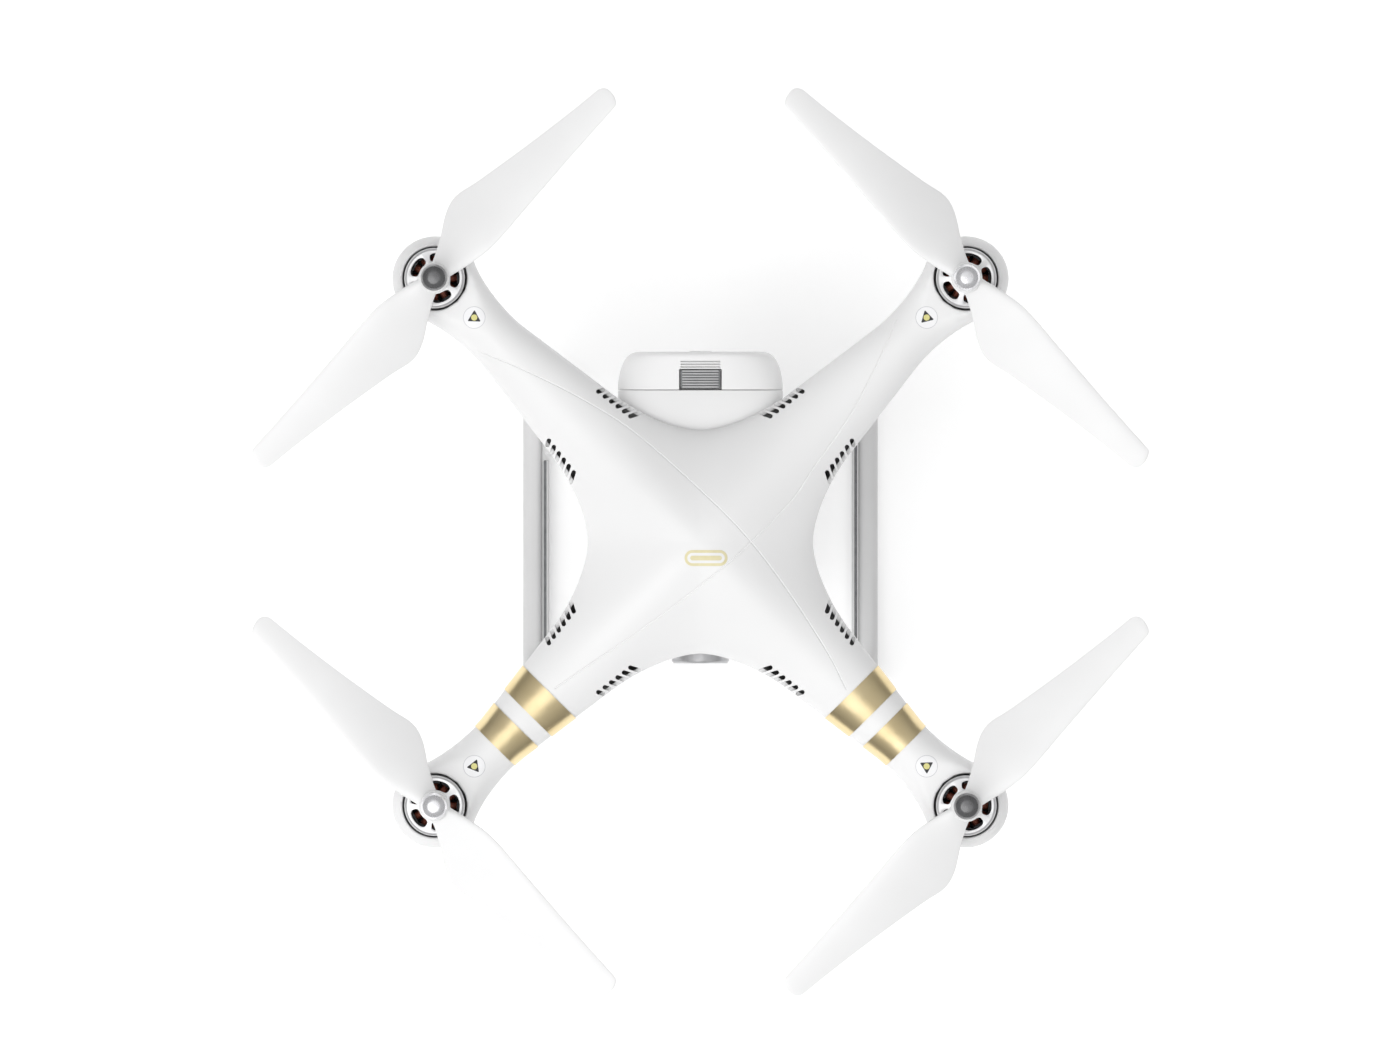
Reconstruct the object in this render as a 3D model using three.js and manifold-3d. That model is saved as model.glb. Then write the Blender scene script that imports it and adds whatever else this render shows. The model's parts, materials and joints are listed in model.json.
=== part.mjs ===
// A camera quadcopter with four two-blade propellers, a slide-in battery and a stabilised camera.
//
// Millimetres, +Z up, -Y is the front (camera), +Y is the rear (battery), and +X is to the right of
// the plan seen from above with the rear at the top. The origin is on the ground, under the middle.
// The body is an X seen from above. Its plan is eight mirrored copies of one eighth, which runs from
// the side of the waist out along one arm to the tip of a motor pod.
import * as THREE from "three";
import { ParametricGeometry } from "three/addons/geometries/ParametricGeometry.js";
import { mergeVertices } from "three/addons/utils/BufferGeometryUtils.js";
import Module from "manifold-3d";

const wasm = await Module();
wasm.setup();

// ---------------------------------------------------------------- driving dimensions
const GAP = 0.3; // play between touching pieces
const MOTOR_X = 124.2; // motor axes, sideways from the middle
const MOTOR_Y = 123.2; // motor axes, forward and back from the middle
const PLAN_STRETCH = MOTOR_Y / MOTOR_X; // the X is a touch shorter than it is wide
const WAIST = 52.7; // middle of the body to its narrowest side
const POD_RADIUS = 20;
const WELL_RADIUS = 15.05; // the round opening over each motor
const WALL = 2;

const SPLIT_Z = 146; // where the two shells meet
const ARM_RISE = 11.5; // arm surface above the split
const CROWN_RISE = 14.5; // extra height in the middle of the body
const CROWN_SPREAD = 55; // how far that extra height reaches
const BELLY_DROP = 44; // flat belly below the split
const ARM_DROP = 11.5;
const BELLY_REACH = 72; // distance from the middle at which the belly tapers into the arms

const PROP_Z = 174; // middle plane of the propellers
const PROP_RADIUS = 119.7;
const HUB_RADIUS = 7.2;
const HUB_HEIGHT = 9;
const NUT_RADIUS = 6.15;
const SHAFT_RADIUS = 2.5;
const BELL_RADIUS = 14.05;
const BELL_TOP = 164;
const BELL_BOTTOM = 143;
const BELL_WINDOWS = 5;
const WINDOW_INNER = 7.4; // nearest and farthest reach of a window from the motor's middle
const WINDOW_OUTER = 11.8;
const WINDOW_HALF = 4.3;
const WINDOW_TURN = 0.045;
const STATOR_BASE = 137;
const BLADE_ANGLE = 47; // blade line at rest, from +X or from -X

const BAY_WIDTH = 72.4;
const BAY_BOTTOM = 106.4;
const BAY_TOP = 142.9;
const BAY_FRONT = -41;
const COLLAR_WIDTH = 77.4;
const COLLAR_BOTTOM = 103;
const COLLAR_TOP = 144.6;
const SEAM_Y = 71; // battery cap meets the collar
const CAP_REAR = 89.1;

const SKID_X = 80.2; // skid's middle, sideways
const SKID_HALF = 76; // skid's half length
const LEG_TOP = [72, 66.5, 122.5]; // where a leg meets its boss under the arm
const BOSS_RADIUS = 10;

const CAMERA_Y = -30; // pitch axis
const CAMERA_Z = 58;
const YAW_Y = 8; // yaw axis
const GIMBAL_PLATE_Z = 98;
const GIMBAL_BASE_Z = 87;
const LENS_FRONT = -57.5;
const LINK_X = 12; // pairing button in the belly
const LINK_Y = -25;

// ---------------------------------------------------------------- materials
const finish = (color, roughness, metalness = 0) =>
  new THREE.MeshStandardMaterial({ color, roughness, metalness });
const WHITE = finish(0xf2f2f0, 0.35);
const OFF_WHITE = finish(0xe6e6e4, 0.45);
const GOLD = finish(0xcdb682, 0.3, 0.9);
const SILVER = finish(0xb9babb, 0.35, 0.9);
const DARK = finish(0x3a3c40, 0.4, 0.5);
const BLACK = finish(0x151617, 0.5);
const COPPER = finish(0xa8603a, 0.4, 0.9);
const BOARD = finish(0x1d4a33, 0.6);
const RUBBER = finish(0x55585a, 0.8);
const GLASS = finish(0x0d1016, 0.05);
const AMBER = finish(0xe8dcc8, 0.3);

const drone = new THREE.Group();

function add(name, geometry, material) {
  const mesh = new THREE.Mesh(geometry, material);
  mesh.name = name;
  drone.add(mesh);
  return mesh;
}

// ---------------------------------------------------------------- solids
// A closed mesh as a manifold-3d solid, with its faces turned outward.
function solid(geometry) {
  const bare = new THREE.BufferGeometry();
  bare.setAttribute("position", geometry.getAttribute("position"));
  bare.setIndex(geometry.index);
  const merged = mergeVertices(bare, 1e-3);
  const corners = merged.index.array;
  const kept = [];
  for (let i = 0; i < corners.length; i += 3) {
    const [a, b, c] = [corners[i], corners[i + 1], corners[i + 2]];
    if (a !== b && b !== c && c !== a) kept.push(a, b, c);
  }
  const at = new THREE.Vector3();
  const to = [new THREE.Vector3(), new THREE.Vector3()];
  let volume = 0;
  for (let i = 0; i < kept.length; i += 3) {
    at.fromBufferAttribute(merged.attributes.position, kept[i]);
    to[0].fromBufferAttribute(merged.attributes.position, kept[i + 1]);
    to[1].fromBufferAttribute(merged.attributes.position, kept[i + 2]);
    volume += at.dot(to[0].cross(to[1]));
  }
  if (volume < 0) kept.reverse();
  return new wasm.Manifold(
    new wasm.Mesh({
      numProp: 3,
      vertProperties: merged.attributes.position.array,
      triVerts: new Uint32Array(kept),
    }),
  );
}

// The solid's surface as a three.js geometry.
function surface(made) {
  const { vertProperties, triVerts } = made.getMesh();
  const geometry = new THREE.BufferGeometry();
  geometry.setAttribute("position", new THREE.BufferAttribute(vertProperties, 3));
  geometry.setIndex(new THREE.BufferAttribute(triVerts, 1));
  return geometry;
}

const joined = (...parts) => parts.reduce((whole, part) => whole.add(part));

// A box between two opposite corners.
function block(low, high) {
  const size = high.map((value, axis) => value - low[axis]);
  const middle = high.map((value, axis) => (value + low[axis]) / 2);
  return new THREE.BoxGeometry(...size).translate(...middle);
}

// A ring or disc turned about the vertical line through (x, y), from a profile of [radius, z].
function turned(profile, x = 0, y = 0, sides = 24) {
  const points = profile.map(([r, z]) => new THREE.Vector2(r, z));
  return new THREE.LatheGeometry(points, sides).rotateX(Math.PI / 2).translate(x, y, 0);
}

const drum = (radius, low, high, x, y, sides) =>
  turned([[0, low], [radius, low], [radius, high], [0, high]], x, y, sides);

function roundedRectangle(width, height, radius) {
  const [w, h] = [width / 2, height / 2];
  const shape = new THREE.Shape();
  shape.moveTo(-w + radius, -h);
  shape.lineTo(w - radius, -h);
  shape.absarc(w - radius, -h + radius, radius, -Math.PI / 2, 0);
  shape.lineTo(w, h - radius);
  shape.absarc(w - radius, h - radius, radius, 0, Math.PI / 2);
  shape.lineTo(-w + radius, h);
  shape.absarc(-w + radius, h - radius, radius, Math.PI / 2, Math.PI);
  shape.lineTo(-w, -h + radius);
  shape.absarc(-w + radius, -h + radius, radius, Math.PI, 1.5 * Math.PI);
  return shape;
}

// A slab with rounded corners, lying flat, with its middle over (x, y).
function plate(width, depth, radius, low, high, x = 0, y = 0, steps = 3) {
  const shape = roundedRectangle(width, depth, radius);
  const options = { depth: high - low, bevelEnabled: false, curveSegments: steps };
  return new THREE.ExtrudeGeometry(shape, options).translate(x, y, low);
}

// The same, standing up and running along Y.
function lengthways(width, height, radius, front, rear, x, z, steps = 3) {
  const lying = plate(width, height, radius, 0, rear - front, 0, 0, steps);
  return lying.rotateX(Math.PI / 2).translate(x, rear, z);
}

// The same, running along X.
function crossways(depth, height, radius, left, right, y, z, steps = 3) {
  return lengthways(depth, height, radius, left, right, 0, 0, steps)
    .rotateZ(-Math.PI / 2)
    .translate(0, y, z);
}

function tube(points, radius, sides, steps) {
  const section = new THREE.Shape();
  section.absarc(0, 0, radius, 0, 2 * Math.PI);
  const path = new THREE.CatmullRomCurve3(points.map((p) => new THREE.Vector3(...p)));
  const options = { extrudePath: path, steps, bevelEnabled: false, curveSegments: sides / 2 };
  return new THREE.ExtrudeGeometry(section, options);
}

// ---------------------------------------------------------------- the body's surface
// Outline of one eighth: round waist, straight flank, neck, and half of the round pod.
function eighthOutline() {
  const path = new THREE.Path();
  path.moveTo(WAIST, 0);
  path.bezierCurveTo(WAIST, 8, 57.3, 25, 70.7, 42.4);
  path.lineTo(101.3, 82.5);
  path.bezierCurveTo(108, 91.2, 121.6, 102, 131.04, 105.41);
  path.absarc(MOTOR_X, MOTOR_X, POD_RADIUS, (-70 * Math.PI) / 180, Math.PI / 4);
  return path;
}
const OUTLINE = eighthOutline();
const OUTLINE_LENGTH = OUTLINE.getLength();

const smooth = THREE.MathUtils.smoothstep;

// Each outline point is joined to a point on the arm's middle line, this far out from the centre.
// The joining lines fan out at the waist, are square to the arm along it, and gather in the pod.
function spineDistance(along) {
  const length = along * OUTLINE_LENGTH;
  const square = length + 33;
  const gathered = 160 + 16 * Math.tanh((square - 160) / 16);
  const reached = square > 160 ? gathered : square;
  return reached * smooth(length, 0, 75);
}

const bellyFullness = (radius) => 1 / (1 + (radius / BELLY_REACH) ** 8);

const topRise = (radius) => ARM_RISE + CROWN_RISE * Math.exp(-((radius / CROWN_SPREAD) ** 2));

const bottomDrop = (radius) =>
  Math.min(BELLY_DROP, ARM_DROP + (BELLY_DROP - ARM_DROP + 1.5) * bellyFullness(radius));

// How far the surface has risen from the edge (0) to its full height (1), across = 0 to 1.
function swell(across, radius, fullness) {
  const shoulder = 1 - 0.7 * smooth(radius, 140, 165);
  const share = Math.min(1, across / shoulder);
  const power = 2 + 3 * fullness;
  return (1 - (1 - share) ** power) ** (1 / power);
}

// A point of the shell: turn goes once round the outline, across goes from the edge to the spine.
// side is 1 for the top shell and -1 for the bottom one, inset is how far inside the skin it lies.
function shellPoint(turn, across, side, inset) {
  const eighth = Math.min(7, Math.floor(turn * 8));
  const within = turn * 8 - eighth;
  const along = eighth % 2 ? 1 - within : within;
  const edge = OUTLINE.getPointAt(along);
  const way = OUTLINE.getTangentAt(along);
  const spine = spineDistance(along) / Math.SQRT2;
  const start = [edge.x - way.y * inset, edge.y + way.x * inset];
  let x = start[0] + (spine - start[0]) * across;
  let y = start[1] + (spine - start[1]) * across;
  const radius = Math.hypot(x, y);
  const rise = side > 0 ? topRise(radius) : bottomDrop(radius);
  const fullness = side > 0 ? 0 : bellyFullness(radius);
  const z = SPLIT_Z + side * (GAP / 2 + (rise - inset - GAP / 2) * swell(across, radius, fullness));
  if (eighth % 2) [x, y] = [y, x];
  for (let quarter = 0; quarter < Math.floor(eighth / 2); quarter++) [x, y] = [-y, x];
  return new THREE.Vector3(x, y * PLAN_STRETCH, z);
}

// A sheet closed on itself: out over the skin from spine to edge, then back under it. The underside
// is the skin's own inner face, or flat for a solid lump of the skin's shape.
function shellSheet(side, inset = 0, flat = false) {
  const around = 8 * 10;
  const rows = 4; // between the edge and the spine, closer together near the edge
  const last = 2 * rows + 1;
  const place = (u, v, target) => {
    const row = Math.round(v * last);
    const inner = row > rows;
    const step = inner ? row - rows - 1 : rows - row;
    const across = 1 - Math.cos(((step / rows) * Math.PI) / 2);
    target.copy(shellPoint(u % 1, across, side, inner && !flat ? WALL : inset));
    if (inner && flat) target.z = SPLIT_Z;
  };
  return new ParametricGeometry(place, around, last);
}

const QUADRANTS = [
  { name: "front_right", x: 1, y: -1 },
  { name: "front_left", x: -1, y: -1 },
  { name: "rear_right", x: 1, y: 1 },
  { name: "rear_left", x: -1, y: 1 },
];

function topShell() {
  let shell = solid(shellSheet(1));
  for (const { x, y } of QUADRANTS) {
    const well = drum(WELL_RADIUS, SPLIT_Z + 1, 170, x * MOTOR_X, y * MOTOR_Y, 32);
    shell = shell.subtract(solid(well));
  }
  return shell;
}

function bottomShell() {
  let shell = solid(shellSheet(-1));
  for (const { x, y } of QUADRANTS) {
    const boss = drum(BOSS_RADIUS, LEG_TOP[2] + GAP, 138, x * LEG_TOP[0], y * LEG_TOP[1], 20);
    shell = shell.add(solid(boss));
  }
  const height = COLLAR_TOP - COLLAR_BOTTOM;
  const middle = (COLLAR_TOP + COLLAR_BOTTOM) / 2;
  const collar = lengthways(COLLAR_WIDTH, height, 9, 28, SEAM_Y, 0, middle);
  const bayMiddle = (BAY_TOP + BAY_BOTTOM) / 2;
  const bay = lengthways(BAY_WIDTH, BAY_TOP - BAY_BOTTOM, 8, BAY_FRONT, SEAM_Y + 1, 0, bayMiddle);
  const buttonHole = drum(2.7, 100, 106, LINK_X, LINK_Y, 14);
  return shell.add(solid(collar)).subtract(solid(bay)).subtract(solid(buttonHole));
}

add("top_shell", surface(topShell()), WHITE);
add("bottom_shell", surface(bottomShell()), WHITE);

// ---------------------------------------------------------------- gold bands on the front arms
const BANDS = { inner: [100, 114], outer: [122, 136] }; // distance out along the arm
const BAND_THICKNESS = 0.4;

function addBands() {
  const skin = solid(shellSheet(1, -GAP, true));
  const raised = solid(shellSheet(1, -GAP - BAND_THICKNESS, true));
  const layer = raised.subtract(skin);
  for (const { name, x, y } of QUADRANTS.filter((quadrant) => quadrant.y < 0)) {
    for (const [place, [near, far]] of Object.entries(BANDS)) {
      const slab = block([near, -30, SPLIT_Z + GAP], [far, 30, 170]);
      slab.rotateZ(Math.atan2(y, x)).scale(1, PLAN_STRETCH, 1);
      const strip = layer.intersect(solid(slab));
      add(`trim_band_${place}_${name}`, surface(strip), GOLD);
    }
  }
}
addBands();

// ---------------------------------------------------------------- motors
// The base, the core and the copper, as one fixed piece round the shaft.
function stator(x, y) {
  const bore = SHAFT_RADIUS + 0.4;
  const profile = [
    [bore, STATOR_BASE], [11, STATOR_BASE], [11, STATOR_BASE + 3], [6, STATOR_BASE + 3], [6, 145.5],
    [12, 145.5], [12, 157], [bore, 157], [bore, STATOR_BASE],
  ];
  return solid(turned(profile, x, y, 16));
}

// The bell is a cup turned upside down, with a spoked top, and carries the shaft.
function bell(x, y) {
  const inner = BELL_RADIUS - 1.2;
  const cup = turned(
    [[0, BELL_TOP - 3], [inner, BELL_TOP - 3], [inner, BELL_BOTTOM], [BELL_RADIUS, BELL_BOTTOM],
      [BELL_RADIUS, BELL_TOP - 0.8], [BELL_RADIUS - 0.8, BELL_TOP], [0, BELL_TOP]],
    x,
    y,
    28,
  );
  let rotor = solid(cup);
  for (let window = 0; window < BELL_WINDOWS; window++) {
    const near = [WINDOW_INNER, -WINDOW_HALF, BELL_TOP - 4];
    const hole = block(near, [WINDOW_OUTER, WINDOW_HALF, BELL_TOP + 1]);
    hole.rotateZ((window / BELL_WINDOWS) * 2 * Math.PI + WINDOW_TURN).translate(x, y, 0);
    rotor = rotor.subtract(solid(hole));
  }
  const shaft = drum(SHAFT_RADIUS, STATOR_BASE + 1, PROP_Z + 4, x, y, 10);
  const seat = drum(HUB_RADIUS - 0.6, BELL_TOP - 1, PROP_Z - HUB_HEIGHT / 2 - GAP, x, y, 14);
  return joined(rotor, solid(shaft), solid(seat));
}

// ---------------------------------------------------------------- propellers
// Half-chords from the blade's line, by distance from the hub: the trailing side bulges.
const spline = (points) => new THREE.SplineCurve(points.map((p) => new THREE.Vector2(...p)));
const TRAILING = spline([
  [4, 5], [15, 10.4], [26, 16.8], [35, 18.8], [48, 15.8], [75, 10.5], [100, 6.3], [116, 4.1],
]);
const LEADING = spline([[4, 4.5], [15, 7.6], [30, 10], [55, 9.2], [85, 8.1], [116, 7.4]]);
const STEEPNESS = spline([[4, 0.2], [20, 0.34], [35, 0.37], [60, 0.26], [90, 0.19], [120, 0.14]]);

// The height of a curve over a distance along its first axis.
function readAt(curve, distance) {
  let [low, high] = [0, 1];
  for (let tries = 0; tries < 24; tries++) {
    const middle = (low + high) / 2;
    if (curve.getPoint(middle).x < distance) low = middle;
    else high = middle;
  }
  return curve.getPoint(low).y;
}

// One blade along +X: a cambered, twisted section swept from the hub to a rounded tip.
function blade() {
  const stations = 8;
  const round = 8; // corners of the section
  const start = 3;
  const place = (u, v, target) => {
    const station = Math.round(v * (stations + 2)) - 1;
    const end = station < 0 || station > stations;
    const share = Math.min(1, Math.max(0, station / stations));
    const distance = start + (PROP_RADIUS - start) * Math.sin((share * Math.PI) / 2) ** 0.8;
    const toTip = PROP_RADIUS - distance;
    const tip = toTip < 4 ? Math.sqrt(Math.max(0.02, 1 - (1 - toTip / 4) ** 2)) : 1;
    const [back, front] = [readAt(TRAILING, distance) * tip, readAt(LEADING, distance) * tip];
    const angle = 2 * Math.PI * Math.round(u * round) / round;
    const shift = (back - front) / 2;
    const half = end ? 0 : (back + front) / 2;
    const across = shift + half * Math.cos(angle);
    const thick = (0.5 + 2.2 * (1 - distance / PROP_RADIUS)) * (end ? 0 : 1);
    const camber = 0.05 * half * Math.sin(angle) ** 2;
    const height = (thick / 2) * Math.sin(angle) + camber - across * readAt(STEEPNESS, distance);
    target.set(distance, across, height);
  };
  return new ParametricGeometry(place, round, stations + 2);
}

// turns is 1 for a propeller that turns anticlockwise seen from above, and -1 for the other kind.
function propeller(x, y, turns) {
  const hub = turned(
    [[SHAFT_RADIUS + 0.1, -HUB_HEIGHT / 2], [HUB_RADIUS, -HUB_HEIGHT / 2], [HUB_RADIUS, HUB_HEIGHT / 2 - 0.8],
      [HUB_RADIUS - 0.8, HUB_HEIGHT / 2], [SHAFT_RADIUS + 0.1, HUB_HEIGHT / 2],
      [SHAFT_RADIUS + 0.1, -HUB_HEIGHT / 2]],
    0,
    0,
    16,
  );
  const one = solid(blade());
  const pair = joined(solid(hub), one, one.rotate([0, 0, 180]));
  const bore = solid(drum(SHAFT_RADIUS + 0.1, -6, 6, 0, 0, 16));
  const flipped = turns > 0 ? pair.subtract(bore).mirror([0, 1, 0]) : pair.subtract(bore);
  const line = x * y > 0 ? -BLADE_ANGLE : BLADE_ANGLE;
  return flipped.rotate([0, 0, line]).translate([x, y, PROP_Z]);
}

function nut(x, y) {
  const [low, high] = [PROP_Z + HUB_HEIGHT / 2 + GAP, PROP_Z + HUB_HEIGHT / 2 + 7];
  const stem = SHAFT_RADIUS - 0.3;
  return turned(
    [[0, PROP_Z + 4 + GAP], [stem, PROP_Z + 4 + GAP], [stem, low], [NUT_RADIUS, low], [NUT_RADIUS, low + 3],
      [5.2, high - 1.3], [3, high - 0.3], [0, high]],
    x,
    y,
    14,
  );
}

for (const { name, x: sideX, y: sideY } of QUADRANTS) {
  const [x, y] = [sideX * MOTOR_X, sideY * MOTOR_Y];
  const turns = sideX * sideY > 0 ? 1 : -1;
  add(`motor_stator_${name}`, surface(stator(x, y)), COPPER);
  add(`rotor_bell_${name}`, surface(bell(x, y)), SILVER);
  add(`propeller_${name}`, surface(propeller(x, y, turns)), WHITE);
  add(`prop_nut_${name}`, surface(solid(nut(x, y))), turns > 0 ? SILVER : DARK);
  const low = SPLIT_Z - ARM_DROP;
  const dome = [[0, low - 2.6], [6, low - 2.6], [9, low - 1.2], [9, low - GAP], [0, low - GAP]];
  add(`led_lens_${name}`, surface(solid(turned(dome, x, y, 16))), AMBER);
  const lead = [[0.3, 148], [0.5, 145], [0.75, 144], [0.905, 139.4]];
  const route = lead.map(([share, z]) => [x * share, y * share, z]);
  add(`motor_lead_${name}`, surface(solid(tube(route, 1.4, 6, 8))), BLACK);
}

// ---------------------------------------------------------------- landing gear
// A U seen from the side: two legs and a skid. It leans outward towards the ground.
function landingGear(side) {
  const [topX, topY, topZ] = LEG_TOP;
  const thick = 9;
  const frame = new THREE.Shape();
  frame.moveTo(topY + 8.5, topZ);
  frame.lineTo(SKID_HALF, 20);
  frame.quadraticCurveTo(SKID_HALF, 0, SKID_HALF - 17, 0);
  frame.lineTo(17 - SKID_HALF, 0);
  frame.quadraticCurveTo(-SKID_HALF, 0, -SKID_HALF, 20);
  frame.lineTo(-topY - 8.5, topZ);
  frame.lineTo(-topY + 8.5, topZ);
  frame.lineTo(-SKID_HALF + 11, 26);
  frame.quadraticCurveTo(-SKID_HALF + 11, 11, -SKID_HALF + 25, 11);
  frame.lineTo(SKID_HALF - 25, 11);
  frame.quadraticCurveTo(SKID_HALF - 11, 11, SKID_HALF - 11, 26);
  frame.lineTo(topY - 8.5, topZ);
  const bevel = 1.5;
  const sheet = new THREE.ExtrudeGeometry(frame, {
    depth: thick - 2 * bevel,
    bevelThickness: bevel,
    bevelSize: bevel,
    bevelOffset: -bevel,
    bevelSegments: 1,
    curveSegments: 4,
  });
  // the shape's own x and y become the object's y and z, and its depth becomes x
  sheet.translate(0, 0, bevel - thick / 2).rotateX(Math.PI / 2).rotateZ(Math.PI / 2);
  const corners = sheet.getAttribute("position");
  const lean = (SKID_X - topX) / topZ;
  for (let i = 0; i < corners.count; i++) {
    corners.setX(i, corners.getX(i) + side * (SKID_X - lean * corners.getZ(i)));
  }
  let gear = solid(sheet);
  for (const end of [-1, 1]) {
    const flange = plate(17, 21, 4, topZ - 4, topZ, side * topX, end * topY);
    gear = gear.add(solid(flange));
  }
  return gear;
}

for (const [name, side] of Object.entries({ left: -1, right: 1 })) {
  add(`landing_gear_${name}`, surface(landingGear(side)), OFF_WHITE);
  const face = SKID_X - 4.5 - GAP - 0.8;
  const rear = side < 0 ? 39 : 50;
  const cover = lengthways(2.6, 8, 1, -50, rear, side * (face - 1.3), 6);
  add(`antenna_cover_${name}`, surface(solid(cover)), OFF_WHITE);
}
add("compass", surface(solid(lengthways(4.4, 19, 1.5, 41, 62, -71.6, 12.5))), OFF_WHITE);

// ---------------------------------------------------------------- battery
const CASE_BOTTOM = BAY_BOTTOM + 0.8;
const CASE_TOP = BAY_TOP - 0.8;
const LATCH_WIDTH = 18.7;
const LATCH_DEPTH = 8.7; // along the battery
const LATCH_FRONT = SEAM_Y + 0.9;
const BUTTON_Z = 124;

function batteryCap() {
  const height = COLLAR_TOP - COLLAR_BOTTOM;
  const front = SEAM_Y + GAP;
  const half = COLLAR_WIDTH / 2;
  const plan = new THREE.Shape();
  plan.moveTo(half, front);
  plan.bezierCurveTo(half, front + 8, half - 2.4, CAP_REAR, half - 9.2, CAP_REAR);
  plan.lineTo(9.2 - half, CAP_REAR);
  plan.bezierCurveTo(2.4 - half, CAP_REAR, -half, front + 8, -half, front);
  const options = { depth: height, bevelEnabled: false, curveSegments: 6 };
  const body = new THREE.ExtrudeGeometry(plan, options).translate(0, 0, COLLAR_BOTTOM);
  const middle = (COLLAR_TOP + COLLAR_BOTTOM) / 2;
  const rounding = lengthways(COLLAR_WIDTH, height, 9, front - 1, CAP_REAR + 1, 0, middle);
  let cap = solid(body).intersect(solid(rounding));
  const [w, y0, y1] = [LATCH_WIDTH / 2 + 0.35, front - 1, LATCH_FRONT + LATCH_DEPTH + 0.35];
  cap = cap.subtract(solid(block([-w, y0, COLLAR_TOP - 6.2], [w, y1, COLLAR_TOP + 1])));
  cap = cap.subtract(solid(block([-w, y0, COLLAR_BOTTOM - 1], [w, y1, COLLAR_BOTTOM + 6.2])));
  const well = drum(6.4, 0, 5, 0, 0, 20).rotateX(Math.PI / 2).translate(0, CAP_REAR + 1, BUTTON_Z);
  return cap.subtract(solid(well));
}

// The ribbed pad that is pressed to free the battery; up is 1 for the top one, -1 for the bottom one.
function latch(up) {
  const outer = up > 0 ? COLLAR_TOP : COLLAR_BOTTOM;
  const [w, y0, y1] = [LATCH_WIDTH / 2, LATCH_FRONT, LATCH_FRONT + LATCH_DEPTH];
  const levels = [outer - up * 3.6, outer - up * 0.5].sort((a, b) => a - b);
  let pad = solid(block([-w, y0, levels[0]], [w, y1, levels[1]]));
  const ribs = 4;
  for (let rib = 0; rib < ribs; rib++) {
    const y = y0 + 0.4 + rib * 2.1;
    const heights = [outer - up * 1, outer].sort((a, b) => a - b);
    pad = pad.add(solid(block([0.6 - w, y, heights[0]], [w - 0.6, y + 1.2, heights[1]])));
  }
  return pad;
}

const caseMiddle = (CASE_TOP + CASE_BOTTOM) / 2;
const caseBlock = lengthways(71.2, CASE_TOP - CASE_BOTTOM, 7, BAY_FRONT + 1, SEAM_Y, 0, caseMiddle);
add("battery_case", surface(solid(caseBlock)), OFF_WHITE);
add("battery_cap", surface(batteryCap()), WHITE);
add("battery_latch_top", surface(latch(1)), OFF_WHITE);
add("battery_latch_bottom", surface(latch(-1)), OFF_WHITE);
const button = turned([[0, 0], [6, 0], [6, 2.9], [5.4, 3.4], [0, 3.4]], 0, 0, 20);
button.rotateX(-Math.PI / 2).translate(0, CAP_REAR - 2.9, BUTTON_Z);
add("battery_button", surface(solid(button)), OFF_WHITE);

// ---------------------------------------------------------------- electronics inside the body
const BOARD_Z = 147.5;

function mainBoard() {
  const slab = plate(84, 58, 4, BOARD_Z, BOARD_Z + 1.6);
  const parts = [solid(slab)];
  for (const x of [-33, 33]) {
    for (const y of [-20, 20]) {
      parts.push(solid(block([x - 6, y - 5, BOARD_Z + 1], [x + 6, y + 5, BOARD_Z + 4])));
    }
  }
  parts.push(solid(block([-12, -27, BOARD_Z + 1], [12, -21, BOARD_Z + 7])));
  return joined(...parts);
}

function flightController() {
  const low = BOARD_Z + 7;
  const parts = [solid(plate(42, 36, 3, low, low + 1.4))];
  for (const x of [-17, 17]) {
    for (const y of [-14, 14]) {
      parts.push(solid(drum(1.8, BOARD_Z + 1.6 + GAP, low + 0.5, x, y, 8)));
    }
  }
  parts.push(solid(block([-9, -7, low + 1], [9, 9, low + 3.6])));
  return joined(...parts);
}

function gpsModule() {
  const low = BOARD_Z + 13.4;
  const parts = [
    solid(drum(19, low, low + 1, 0, 0, 24)),
    solid(block([-12.5, -12.5, low + 0.5], [12.5, 12.5, low + 4.6])),
  ];
  for (const x of [-14, 14]) {
    parts.push(solid(drum(1.6, BOARD_Z + 8.4 + GAP, low + 0.5, x, 10, 8)));
  }
  parts.push(solid(drum(1.6, BOARD_Z + 8.4 + GAP, low + 0.5, 0, -13, 8)));
  return joined(...parts);
}

add("main_board", surface(mainBoard()), BOARD);
add("flight_controller", surface(flightController()), BOARD);
add("gps_module", surface(gpsModule()), OFF_WHITE);

// ---------------------------------------------------------------- under the belly
const BELLY_Z = SPLIT_Z - BELLY_DROP;
const UNDER_BELLY = BELLY_Z - GAP;

function visionModule() {
  const housing = solid(plate(46, 27, 5, UNDER_BELLY - 4.4, UNDER_BELLY, 0, 37));
  const eyes = [-14, 14].map((x) => solid(drum(6.5, UNDER_BELLY - 6, UNDER_BELLY - 4, x, 37, 18)));
  const camera = solid(drum(4, UNDER_BELLY - 5.4, UNDER_BELLY - 4, 0, 37, 14));
  return joined(housing, ...eyes, camera);
}
add("vision_module", surface(visionModule()), DARK);

const linkButton = [[0, 101], [2.3, 101], [2.3, 105.2], [3.6, 105.2], [3.6, 106], [0, 106]];
add("link_button", surface(solid(turned(linkButton, LINK_X, LINK_Y, 14))), OFF_WHITE);

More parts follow.
